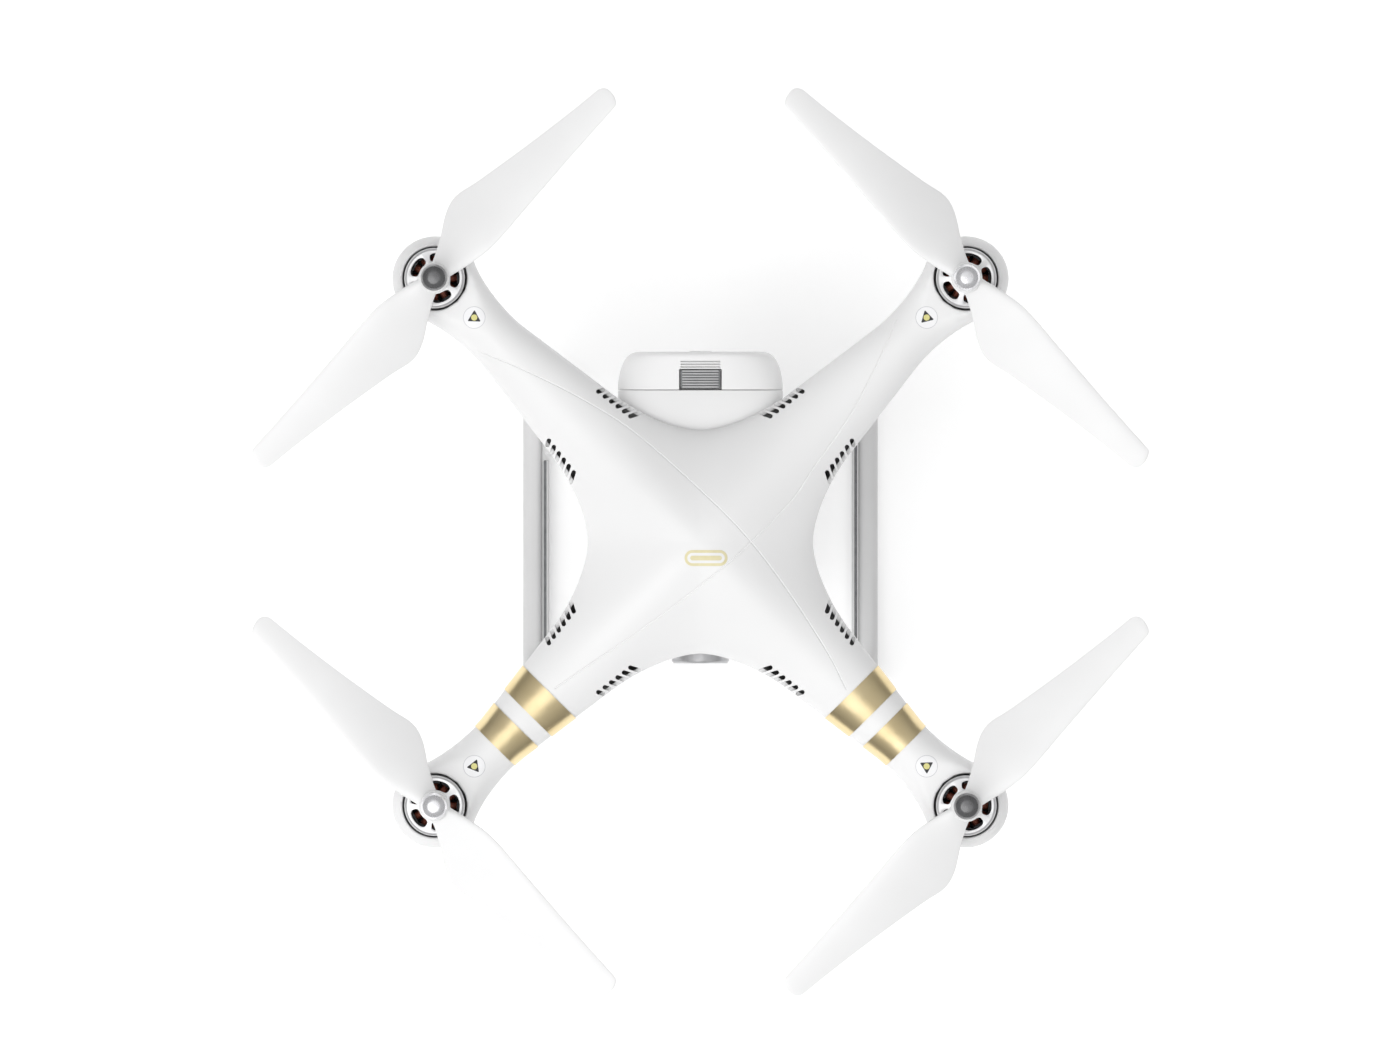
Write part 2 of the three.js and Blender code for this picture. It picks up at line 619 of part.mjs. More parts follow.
add("gimbal_plate", surface(solid(plate(62, 42, 5, UNDER_BELLY - 2, UNDER_BELLY, 0, 1))), OFF_WHITE);
const DAMPER_TOP = UNDER_BELLY - 2 - GAP;
const DAMPER_BOTTOM = GIMBAL_BASE_Z + 3 + GAP;
for (const [x, side] of [[-24, "left"], [24, "right"]]) {
  for (const [y, end] of [[-13, "front"], [15, "rear"]]) {
    const [low, high] = [DAMPER_BOTTOM, DAMPER_TOP];
    const barrel = [[0, low], [2.8, low], [4.6, low + 3], [4.6, high - 3], [2.8, high], [0, high]];
    add(`damper_${end}_${side}`, surface(solid(turned(barrel, x, y, 12))), RUBBER);
  }
}
add("gimbal_base", surface(solid(plate(60, 42, 6, GIMBAL_BASE_Z, GIMBAL_BASE_Z + 3, 0, 3))), SILVER);

// ---------------------------------------------------------------- stabilised camera
const MOTOR_HEIGHT = 9.6;
const YAW_LOW = GIMBAL_BASE_Z - GAP - MOTOR_HEIGHT;
const ROLL_FRONT = 9.2;
const ARM_X = 31.2; // inside face of the arm beside the camera

const yawMotor = turned(
  [[0, YAW_LOW], [12, YAW_LOW], [13, YAW_LOW + 1], [13, GIMBAL_BASE_Z - GAP - 1], [12, GIMBAL_BASE_Z - GAP],
    [0, GIMBAL_BASE_Z - GAP]],
  0,
  YAW_Y,
);
add("yaw_motor", surface(solid(yawMotor)), SILVER);

function yawArm() {
  const top = YAW_LOW - GAP;
  const disc = drum(11, top - 3, top, 0, YAW_Y, 20);
  const bar = block([-7, YAW_Y, top - 3], [7, 24, top]);
  const drop = plate(14, 4, 1.5, CAMERA_Z - 9, top - 1, 0, 22);
  return joined(solid(disc), solid(bar), solid(drop));
}

// A drum whose axis runs along Y or X, with softened rims.
function motorDrum(radius, length) {
  return turned(
    [[0, 0], [radius - 1, 0], [radius, 1], [radius, length - 1], [radius - 1, length], [0, length]],
    0,
    0,
    20,
  );
}

function rollArm() {
  const back = ROLL_FRONT - GAP;
  const disc = drum(9, 0, 3.4, 0, 0, 18).rotateX(Math.PI / 2).translate(0, back, CAMERA_Z);
  const across = block([-4, back - 3.4, CAMERA_Z - 4], [ARM_X + 2.8, back, CAMERA_Z + 4]);
  const along = crossways(46, 9, 3, ARM_X, ARM_X + 2.8, back - 23, CAMERA_Z);
  const end = drum(10, 0, 2.8, 0, 0, 18).rotateY(Math.PI / 2).translate(ARM_X, CAMERA_Y, CAMERA_Z);
  return joined(solid(disc), solid(across), solid(along), solid(end));
}

add("gimbal_yaw_arm", surface(yawArm()), SILVER);
const rollMotor = motorDrum(10.5, MOTOR_HEIGHT).rotateX(-Math.PI / 2);
rollMotor.translate(0, ROLL_FRONT, CAMERA_Z);
add("roll_motor", surface(solid(rollMotor)), SILVER);
add("gimbal_roll_arm", surface(rollArm()), SILVER);
const pitchMotor = motorDrum(10.5, MOTOR_HEIGHT).rotateY(Math.PI / 2);
pitchMotor.translate(ARM_X - GAP - MOTOR_HEIGHT, CAMERA_Y, CAMERA_Z);
add("pitch_motor", surface(solid(pitchMotor)), SILVER);

const HOUSING_HALF = 19; // half the camera's width
const HOUSING_FRONT = -43;
const housing = crossways(26, 34, 6, -HOUSING_HALF, HOUSING_HALF, HOUSING_FRONT + 13, CAMERA_Z);
add("camera_housing", surface(solid(housing)), DARK);

// Lens parts are turned about an axis that leaves the housing forward.
const facingFront = (profile, sides) =>
  turned(profile, 0, 0, sides).rotateX(Math.PI / 2).translate(0, HOUSING_FRONT - GAP, CAMERA_Z);
const LENS_LENGTH = HOUSING_FRONT - GAP - LENS_FRONT;
const barrelProfile = [
  [0, 0], [11.5, 0], [13.5, 1.5], [13.5, LENS_LENGTH - 1], [12.8, LENS_LENGTH],
  [10, LENS_LENGTH], [10, LENS_LENGTH - 3], [0, LENS_LENGTH - 3],
];
add("lens_barrel", surface(solid(facingFront(barrelProfile, 28))), DARK);
const glassLow = LENS_LENGTH - 3 + GAP;
const glassProfile = [
  [0, glassLow], [9.7, glassLow], [9.7, glassLow + 1], [7, glassLow + 1.8], [0, glassLow + 2.2],
];
add("lens_glass", surface(solid(facingFront(glassProfile, 20))), GLASS);

export default drone;
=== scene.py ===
import json
import math

import bmesh
import bpy
import numpy as np
from mathutils import Matrix, Vector
from mathutils.bvhtree import BVHTree

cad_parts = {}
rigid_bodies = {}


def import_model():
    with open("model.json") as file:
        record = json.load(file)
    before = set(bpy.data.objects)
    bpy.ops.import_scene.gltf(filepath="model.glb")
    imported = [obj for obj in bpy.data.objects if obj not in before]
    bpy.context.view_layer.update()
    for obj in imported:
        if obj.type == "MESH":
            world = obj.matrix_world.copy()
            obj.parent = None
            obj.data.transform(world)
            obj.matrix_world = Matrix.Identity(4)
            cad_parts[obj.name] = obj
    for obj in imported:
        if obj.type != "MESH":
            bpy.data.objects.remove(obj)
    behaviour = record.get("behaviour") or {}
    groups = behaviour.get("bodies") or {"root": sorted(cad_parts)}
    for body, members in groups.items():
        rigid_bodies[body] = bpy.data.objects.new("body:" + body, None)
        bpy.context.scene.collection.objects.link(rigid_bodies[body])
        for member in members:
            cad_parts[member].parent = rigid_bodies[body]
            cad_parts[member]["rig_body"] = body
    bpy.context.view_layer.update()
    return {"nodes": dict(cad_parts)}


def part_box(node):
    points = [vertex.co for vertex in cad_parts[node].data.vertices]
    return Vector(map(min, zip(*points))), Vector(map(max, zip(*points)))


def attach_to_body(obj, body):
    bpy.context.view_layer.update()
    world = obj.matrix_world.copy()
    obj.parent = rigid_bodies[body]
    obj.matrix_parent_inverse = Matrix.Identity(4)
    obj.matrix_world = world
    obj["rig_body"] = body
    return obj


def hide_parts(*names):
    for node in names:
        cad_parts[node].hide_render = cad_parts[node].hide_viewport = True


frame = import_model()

MM = 0.001
NODES = frame["nodes"]


def span(node):
    """The lowest and highest corner of a CAD node, in millimetres."""
    low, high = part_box(node)
    return low / MM, high / MM


def middle(node):
    return sum(span(node), Vector()) / 2


def spread(node):
    """A CAD node's lowest and highest corner, its size and its middle, in millimetres."""
    low, high = span(node)
    return low, high, high - low, (low + high) / 2


# ---------------------------------------------------------------- driving dimensions, millimetres
QUADRANTS = {"front_right": (1, -1), "front_left": (-1, -1), "rear_right": (1, 1), "rear_left": (-1, 1)}
MOTOR_X = abs(middle("motor_stator_front_right").x)
MOTOR_Y = abs(middle("motor_stator_front_right").y)
STRETCH = MOTOR_Y / MOTOR_X  # the X-shaped plan is a touch shorter than it is wide
SPLIT_Z = (span("top_shell")[0].z + span("bottom_shell")[1].z) / 2
SPLIT_GAP = (span("top_shell")[0].z - span("bottom_shell")[1].z) / 2
WAIST = 52.7  # middle of the body to its narrowest side
POD_RADIUS = 20
WELL_RADIUS = 15.05  # round opening over each motor
WELL_LIP = 0.9  # rounding of that opening
WALL = 2
EDGE = 0.3  # rounding of the shells' meeting edges
ARM_RISE = 11.5
CROWN_RISE = 14.5
CROWN_SPREAD = 55
BELLY_DROP = 44
ARM_DROP = 11.5
BELLY_REACH = 72
FLANK_COLUMNS = 52  # of one eighth of the shell, before the pod
POD_COLUMNS = 34
SKIN_ROWS = 26
LINING_ROWS = 10
DIAGONAL = math.sqrt(0.5)
SOFT_POWER = 3.5  # squareness of the battery's collar and cap: 2 is an ellipse
ROUND_END = 0.49  # corner radius, as a share of its width, that makes a bar's ends round


# ---------------------------------------------------------------- shapes
class Form:
    """Points in millimetres and faces, gathered before they become a piece."""

    def __init__(self, points=(), faces=()):
        self.points = [Vector(p) for p in points]
        self.faces = [tuple(f) for f in faces]

    def join(self, *others):
        for other in others:
            base = len(self.points)
            self.points += other.points
            self.faces += [tuple(base + i for i in face) for face in other.faces]
        return self

    def moved(self, matrix):
        return Form([matrix @ p for p in self.points], self.faces)

    def at(self, x, y, z):
        return self.moved(Matrix.Translation((x, y, z)))

    def turned(self, degrees, axis):
        return self.moved(Matrix.Rotation(math.radians(degrees), 4, axis))


def joined(forms):
    return Form().join(*forms)


def sheet(rows, wrap=False, caps=False):
    """Quads between rows of points. A wrapped row closes on itself; caps close both ends."""
    count = len(rows[0])
    form = Form([p for row in rows for p in row])
    for r in range(len(rows) - 1):
        for c in range(count if wrap else count - 1):
            a, b = r * count + c, r * count + (c + 1) % count
            form.faces.append((a, b, b + count, a + count))
    if caps:
        last = count * (len(rows) - 1)
        form.faces.append(tuple(range(count))[::-1])
        form.faces.append(tuple(range(last, last + count)))
    return form


def rounded(corners, closed=True, steps=5):
    """A line through (x, y, radius) corners, each rounded by an arc of its radius."""
    line = []
    for i, (x, y, *radius) in enumerate(corners):
        here = np.array((x, y), float)
        if not radius or (not closed and i in (0, len(corners) - 1)):
            line.append(here)
            continue
        before = np.array(corners[i - 1][:2], float) - here
        after = np.array(corners[(i + 1) % len(corners)][:2], float) - here
        room = 0.49 * min(np.linalg.norm(before), np.linalg.norm(after))
        before /= np.linalg.norm(before)
        after /= np.linalg.norm(after)
        half = math.acos(np.clip(before @ after, -1, 1)) / 2
        reach = min(radius[0] / math.tan(half), room)
        centre = here + (before + after) / np.linalg.norm(before + after) * reach / math.cos(half)
        first, final = here + before * reach - centre, here + after * reach - centre
        sweep_angle = math.pi - 2 * half
        for k in range(steps + 1):
            share = k / steps * sweep_angle
            mix = math.sin(sweep_angle - share) * first + math.sin(share) * final
            line.append(centre + mix / math.sin(sweep_angle))
    return [tuple(p) for p in line]


def even(outline, step):
    """The same closed outline with its long sides divided."""
    line = []
    for (x0, y0), (x1, y1) in zip(outline, outline[1:] + outline[:1]):
        parts = max(1, round(math.hypot(x1 - x0, y1 - y0) / step))
        line += [(x0 + (x1 - x0) * k / parts, y0 + (y1 - y0) * k / parts) for k in range(parts)]
    return line


def rectangle(width, depth, radius, steps=6):
    w, d = width / 2, depth / 2
    return rounded([(-w, -d, radius), (w, -d, radius), (w, d, radius), (-w, d, radius)], steps=steps)


def circle(radius, steps=32, x=0, y=0):
    angles = [2 * math.pi * k / steps for k in range(steps)]
    return [(x + radius * math.cos(a), y + radius * math.sin(a)) for a in angles]


def soft_rectangle(width, height, power=SOFT_POWER, count=128):
    """A rectangle with swelling sides and soft corners, in evenly spaced points."""
    angle = np.linspace(0, 2 * math.pi, 1441)
    x = width / 2 * np.sign(np.cos(angle)) * np.abs(np.cos(angle)) ** (2 / power)
    y = height / 2 * np.sign(np.sin(angle)) * np.abs(np.sin(angle)) ** (2 / power)
    travel = np.concatenate(([0], np.cumsum(np.hypot(np.diff(x), np.diff(y)))))
    stops = np.linspace(0, travel[-1], count, endpoint=False)
    return np.column_stack((np.interp(stops, travel, x), np.interp(stops, travel, y)))


def shrunk(outline, inset):
    """A closed anticlockwise outline moved inward."""
    line = np.array(outline, float)
    ahead = np.roll(line, -1, axis=0) - line
    ahead /= np.linalg.norm(ahead, axis=1)[:, None]
    behind = np.roll(ahead, 1, axis=0)
    inward = np.column_stack((-(ahead + behind)[:, 1], (ahead + behind)[:, 0]))
    inward /= np.linalg.norm(inward, axis=1)[:, None]
    slope = np.maximum(0.4, (inward * np.column_stack((-ahead[:, 1], ahead[:, 0]))).sum(axis=1))
    return line + inward * (inset / slope)[:, None]


def slab(outline, low, high, edge=0.5, steps=3):
    """A flat shape of some thickness, with rounded rims."""
    rows = []
    for k in range(steps + 1):
        angle = math.pi / 2 * k / steps
        line = shrunk(outline, edge * (1 - math.sin(angle)))
        rows.append([(x, y, low + edge * (1 - math.cos(angle))) for x, y in line])
    top = [[(x, y, low + high - z) for x, y, z in row] for row in reversed(rows)]
    return sheet(rows + top, wrap=True, caps=True)


def box(width, depth, height, radius=1, edge=0.5):
    """A box with rounded corners, centred on the origin."""
    return slab(rectangle(width, depth, radius), -height / 2, height / 2, edge)


def lathe(profile, steps=64):
    """A profile of (radius, z) turned about the Z axis. It starts and ends on the axis, or closes."""
    angles = [2 * math.pi * k / steps for k in range(steps)]
    rows = [[(r * math.cos(a), r * math.sin(a), z) for a in angles] for r, z in profile]
    if profile[0][0] > 0:
        rows.append(rows[0])
    return sheet(rows, wrap=True)


def turnery(corners, steps=48, arc_steps=5):
    """A form turned about the Z axis from (radius, z, rounding) corners."""
    return lathe(rounded(corners, False, arc_steps), steps)


def groove_corners(radius, start, end, depth, slope, rim=0.1):
    """The corners of a groove round a turned form."""
    floor = radius - depth
    return [(radius, start, rim), (floor, start + slope, 0.1), (floor, end - slope, 0.1), (radius, end, rim)]


def drum(radius, low, high, edge=0.4, steps=48):
    return turnery([(0, low), (radius, low, edge), (radius, high, edge), (0, high)], steps)


def sweep(path, section, closed=False):
    """A section carried along a path without twisting."""
    points = [Vector(p) for p in path]
    count = len(points)
    rows = []
    side = None
    for i, point in enumerate(points):
        before = points[i - 1] if closed or i else point
        after = points[(i + 1) % count] if closed or i < count - 1 else point
        way = (after - before).normalized()
        if side is None:
            side = way.orthogonal().normalized()
        side = (side - way * side.dot(way)).normalized()
        up = way.cross(side)
        rows.append([point + side * x + up * y for x, y in section])
    if closed:
        rows.append(rows[0])
    return sheet(rows, wrap=True, caps=not closed)


def facing(origin, along, normal):
    """The matrix that puts a form's X along a direction and its Z along a normal, at a place."""
    z = Vector(normal).normalized()
    x = (Vector(along) - z * Vector(along).dot(z)).normalized()
    y = z.cross(x)
    matrix = Matrix((x, y, z)).transposed().to_4x4()
    matrix.translation = Vector(origin)
    return matrix


UPRIGHT = Matrix.Rotation(math.pi / 2, 4, "X")  # a form's Y becomes Z, and its Z becomes -Y
SIDEWAYS = Matrix(((0, 0, 1, 0), (1, 0, 0, 0), (0, 1, 0, 0), (0, 0, 0, 1)))  # X, Y, Z become Y, Z, X


# ---------------------------------------------------------------- pieces
def raw(name, form):
    mesh = bpy.data.meshes.new(name)
    mesh.from_pydata([p * MM for p in form.points], [], form.faces)
    work = bmesh.new()
    work.from_mesh(mesh)
    bmesh.ops.remove_doubles(work, verts=work.verts, dist=0.002 * MM)
    bmesh.ops.recalc_face_normals(work, faces=work.faces)
    work.to_mesh(mesh)
    work.free()
    made = bpy.data.objects.new(name, mesh)
    bpy.context.scene.collection.objects.link(made)
    return made


def applied(made):
    """Turns the piece's modifiers into its mesh."""
    graph = bpy.context.evaluated_depsgraph_get()
    mesh = bpy.data.meshes.new_from_object(made.evaluated_get(graph))
    made.modifiers.clear()
    made.data = mesh
    return made


def carve(made, form, operation="DIFFERENCE"):
    tool = raw("tool", form)
    modifier = made.modifiers.new("carve", "BOOLEAN")
    modifier.operation = operation
    modifier.solver = "EXACT"
    modifier.object = tool
    applied(made)
    bpy.data.objects.remove(tool)
    return made


def soften(made, width, steps=2, angle=42):
    """Rounds the piece's sharp edges."""
    modifier = made.modifiers.new("soften", "BEVEL")
    modifier.width = width * MM
    modifier.segments = steps
    modifier.limit_method = "ANGLE"
    modifier.angle_limit = math.radians(angle)
    return applied(made)


def dress(made, finish, smooth):
    """Gives a piece its shading and its material."""
    for face in made.data.polygons:
        face.use_smooth = True
    made.data.set_sharp_from_angle(angle=math.radians(smooth))
    made.data.materials.clear()
    made.data.materials.append(FINISHES[finish])
    return made


def attach(made, node, stands_for):
    """Ties a piece to the CAD body that it moves with, and hides the CAD node that it stands for."""
    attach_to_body(made, NODES[node]["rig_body"])
    if stands_for:
        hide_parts(node)


def piece(made, node, finish, stands_for=True, smooth=32):
    """A finished piece, from an object or from a (name, form) pair."""
    if isinstance(made, tuple):
        made = raw(*made)
    attach(dress(made, finish, smooth), node, stands_for)


def detail(name, form, node, finish):
    """A piece that stands for no node of its own."""
    piece((name, form), node, finish, stands_for=False)


# ---------------------------------------------------------------- materials
class Finish:
    """A material of procedural nodes round one Principled shader."""

    def __init__(self, name, **sockets):
        self.material = bpy.data.materials.new(name)
        self.material.use_nodes = True
        self.tree = self.material.node_tree
        self.shader = self.tree.nodes["Principled BSDF"]
        self.place = self.tree.nodes.new("ShaderNodeTexCoord").outputs["Object"]
        self.normal = None
        for socket, value in sockets.items():
            self.shader.inputs[socket.replace("_", " ")].default_value = value

    def node(self, kind, values=(), **settings):
        made = self.tree.nodes.new("ShaderNode" + kind)
        for name, value in settings.items():
            setattr(made, name, value)
        for socket, value in dict(values).items():
            if isinstance(value, bpy.types.NodeSocket):
                self.tree.links.new(value, made.inputs[socket])
            else:
                made.inputs[socket].default_value = value
        return made

    def stretched(self, scale):
        return self.node("Mapping", {"Vector": self.place, "Scale": scale}).outputs["Vector"]

    def noise(self, scale, detail=3, stretch=(1, 1, 1)):
        """Cloudy values with this many waves to a metre."""
        values = {"Vector": self.stretched(stretch), "Scale": scale, "Detail": detail, "Roughness": 0.5}
        return self.node("TexNoise", values).outputs["Fac"]

    def ramp(self, factor, low, high):
        """Most of the noise lies between 0.3 and 0.7."""
        values = {"Value": factor, "From Min": 0.3, "From Max": 0.7, "To Min": low, "To Max": high}
        return self.node("MapRange", values).outputs["Result"]

    def blend(self, factor, first, second):
        made = self.node("Mix", {"Factor": factor}, data_type="RGBA")
        for socket, value in ((6, first), (7, second)):
            if isinstance(value, bpy.types.NodeSocket):
                self.tree.links.new(value, made.inputs[socket])
            else:
                made.inputs[socket].default_value = (*value, 1)
        return made.outputs[2]

    def colour(self, first, second, scale):
        """Clouds of two colours; a number is a grey."""
        first, second = [(tint,) * 3 if isinstance(tint, float) else tint for tint in (first, second)]
        factor = self.ramp(self.noise(scale), 0, 1)
        self.tree.links.new(self.blend(factor, first, second), self.shader.inputs["Base Color"])
        return self

    def roughness(self, low, high, scale):
        value = self.ramp(self.noise(scale, 4), low, high)
        self.tree.links.new(value, self.shader.inputs["Roughness"])
        return self

    def bump(self, height, depth, strength):
        """Relief of this depth in metres, over what relief there already is."""
        values = {"Height": height, "Distance": depth, "Strength": strength}
        if self.normal:
            values["Normal"] = self.normal
        self.normal = self.node("Bump", values).outputs["Normal"]
        self.tree.links.new(self.normal, self.shader.inputs["Normal"])
        return self

    def grain(self, scale, depth, strength=1.0, stretch=(1, 1, 1)):
        return self.bump(self.noise(scale, 2, stretch), depth, strength)

    def cells(self, scale, depth, strength):
        return self.bump(self.node("TexVoronoi", {"Vector": self.place, "Scale": scale}).outputs["Distance"],
                         depth, strength)

    def rings(self, scale, depth, strength):
        """Fine turned marks round the Z axis."""
        values = {"Vector": self.place, "Scale": scale, "Distortion": 0.4, "Detail": 1}
        wave = self.node("TexWave", values, wave_type="RINGS", rings_direction="Z")
        return self.bump(wave.outputs["Fac"], depth, strength)

    def layers(self, scale, depth, strength):
        """Sheets stacked along Z."""
        wave = self.node("TexWave", {"Vector": self.place, "Scale": scale, "Distortion": 0.0},
                         bands_direction="Z")
        return self.bump(wave.outputs["Fac"], depth, strength)

    def tracks(self, scale, depth, strength):
        """A circuit board's green field and raised tracks."""
        made = self.node("TexBrick", {"Vector": self.place, "Scale": scale, "Mortar Size": 0.06,
                                      "Color1": (0.02, 0.11, 0.06, 1), "Color2": (0.015, 0.09, 0.045, 1),
                                      "Mortar": (0.06, 0.26, 0.12, 1)})
        self.tree.links.new(made.outputs["Color"], self.shader.inputs["Base Color"])
        return self.bump(made.outputs["Fac"], depth, strength)


NUT_COAT = dict(Metallic=0.8, Coat_Weight=0.6, Coat_Roughness=0.12)
NUT_TURNED = (0.24, 0.33, 500), ("rings", 3200, 4e-6, 0.4), ("grain", 6000, 3e-6, 0.3)
BLASTED = (0.34, 0.44, 420), ("grain", 7000, 8e-6, 0.6), ("grain", 500, 1e-5, 0.3)
# name: shader sockets; two colours and the scale of their clouds; the range of roughness and its scale;
# then layers of relief, each with its scale, depth in metres and strength
SURFACES = {
    "shell_white": (dict(Coat_Weight=0.1, Coat_Roughness=0.2, Specular_IOR_Level=0.38),
                    (0.775, 0.795, 14), (0.36, 0.44, 60),
                    ("grain", 420, 2e-5, 0.4), ("grain", 5200, 4e-6, 0.35)),
    "satin_white": (dict(Specular_IOR_Level=0.45), (0.7, 0.73, 25), (0.42, 0.54, 90),
                    ("cells", 3800, 1.2e-5, 0.5), ("grain", 500, 2e-5, 0.3)),
    "propeller_plastic": (dict(Subsurface_Weight=0.1, Subsurface_Scale=0.003, Subsurface_Radius=(1, 1, 1),
                               Coat_Weight=0.1, Coat_Roughness=0.25),
                          (0.8, 0.82, 30), (0.38, 0.46, 80), ("grain", 260, 2e-5, 0.4, (0.3, 1, 1))),
    "gold_foil": (dict(Metallic=1.0, Anisotropic=0.35), ((0.8, 0.65, 0.37), (0.86, 0.72, 0.44), 60),
                  (0.28, 0.35, 140), ("grain", 9000, 2e-6, 0.35, (1, 1, 0.2))),
    "bell_metal": (dict(Metallic=0.85), ((0.8, 0.8, 0.81), (0.87, 0.87, 0.87), 90), (0.28, 0.36, 300),
                   ("rings", 2600, 6e-6, 0.4), ("grain", 3000, 4e-6, 0.3)),
    "nut_silver": (NUT_COAT, ((0.8, 0.8, 0.816), (0.86, 0.86, 0.886), 220), *NUT_TURNED),
    "nut_dark": (NUT_COAT, ((0.15, 0.15, 0.153), (0.19, 0.19, 0.196), 220), *NUT_TURNED),
    "copper": (dict(Metallic=0.9, Coat_Weight=0.5, Coat_Roughness=0.15),
               ((0.24, 0.07, 0.045), (0.4, 0.13, 0.08), 800), (0.25, 0.4, 900), ("grain", 2500, 1e-5, 0.4)),
    "core_steel": (dict(Metallic=0.7), ((0.05, 0.05, 0.055), (0.11, 0.11, 0.11), 700), (0.4, 0.6, 900),
                   ("layers", 460, 4e-5, 0.8)),
    "lead_sleeve": ({}, ((0.02, 0.02, 0.022), (0.045, 0.045, 0.05), 400), (0.42, 0.6, 600),
                    ("grain", 2600, 1e-5)),
    "light_lens": (dict(Transmission_Weight=0.55, IOR=1.49), ((0.93, 0.82, 0.62), (0.97, 0.9, 0.75), 120),
                   (0.18, 0.26, 200), ("cells", 900, 8e-5, 0.6)),
    # painted shade: the latch ribs are a darker grey than the white latch, standing in for the shade in its
    # pocket
    "latch_painted_shade": (dict(Specular_IOR_Level=0.4), ((0.43, 0.43, 0.435), (0.48, 0.48, 0.485), 200),
                   (0.45, 0.58, 300), ("cells", 3800, 1.2e-5, 0.5)),
    "damper_rubber": (dict(Specular_IOR_Level=0.3), ((0.16, 0.165, 0.17), (0.22, 0.225, 0.23), 300),
                      (0.65, 0.85, 700), ("grain", 5200, 2e-5), ("grain", 900, 3e-5, 0.4)),
    "circuit_board": (dict(Coat_Weight=0.4, Coat_Roughness=0.2), None, (0.35, 0.5, 400),
                      ("tracks", 260, 4e-5, 0.6)),
    "lens_glass": (dict(Coat_Weight=1.0, Coat_Roughness=0.02, Specular_IOR_Level=0.8,
                        Thin_Film_Thickness=430.0, Thin_Film_IOR=1.38),
                   ((0.006, 0.007, 0.012), (0.014, 0.012, 0.024), 150), (0.03, 0.06, 120),
                   ("grain", 60, 1e-5, 0.15)),
    "black_plastic": ({}, ((0.022, 0.022, 0.024), (0.035, 0.035, 0.037), 300), (0.42, 0.55, 500),
                      ("cells", 4200, 1e-5, 0.5)),
    "camera_metal": (dict(Metallic=0.85), ((0.52, 0.52, 0.53), (0.59, 0.59, 0.602), 260), *BLASTED),
    "gimbal_metal": (dict(Metallic=0.85), ((0.5, 0.5, 0.51), (0.58, 0.58, 0.592), 260), *BLASTED),
    "screw_steel": (dict(Metallic=1.0), ((0.34, 0.34, 0.35), (0.46, 0.46, 0.47), 900), (0.28, 0.4, 1400),
                    ("rings", 5200, 4e-6, 0.5)),
    "mark_yellow": ({}, ((0.62, 0.58, 0.2), (0.7, 0.66, 0.28), 900), (0.4, 0.5, 900), ("grain", 5000, 4e-6)),
    "badge_print": (dict(Metallic=0.15), ((0.66, 0.6, 0.36), (0.72, 0.66, 0.42), 300), (0.4, 0.5, 500),
                    ("grain", 4000, 4e-6, 0.4)),
    "sticker_white": (dict(Coat_Weight=0.3, Coat_Roughness=0.1),
                      ((0.8, 0.8, 0.81), (0.83, 0.83, 0.84), 200), (0.3, 0.38, 300),
                      ("grain", 1500, 1e-5, 0.3)),
    "sticker_line": ({}, ((0.48, 0.48, 0.5), (0.56, 0.56, 0.58), 400), (0.4, 0.5, 500),
                     ("grain", 3000, 4e-6, 0.3)),
}


def finishes():
    made = {}
    for name, (sockets, tints, gloss, *relief) in SURFACES.items():
        finish = Finish(name, **sockets)
        if tints:
            finish.colour(*tints)
        finish.roughness(*gloss)
        for kind, *settings in relief:
            getattr(finish, kind)(*settings)
        made[name] = finish.material
    return made


FINISHES = finishes()


# ---------------------------------------------------------------- camera, light and floor
LENS = 441  # millimetres; the rest here is in metres and watts
CAMERA_X, CAMERA_Y, CAMERA_HEIGHT = -0.0002, 0.0079, 8.0  # the height is over the propellers
FRAME_WIDTH = 0.653  # what the picture shows at the propellers' height
FLOOR_HALF = 40
FLOOR_GLOW = 0.25
SKY_LOW, SKY_HIGH, SKY_FULL = (0.14, 0.14, 0.145, 1), (0.58, 0.58, 0.58, 1), 0.9
SOFTBOXES = (  # name, place, size, power, whether it lights things and whether it shows in their gloss
    ("key", (-1.1, -1.3, 2.2), 2.9, 47, True, False),
    ("overhead", (0.1, 0.2, 3.0), 3.2, 32, True, False),
    ("card", (-0.5, -0.5, 2.5), 1.5, 9, False, True),
)


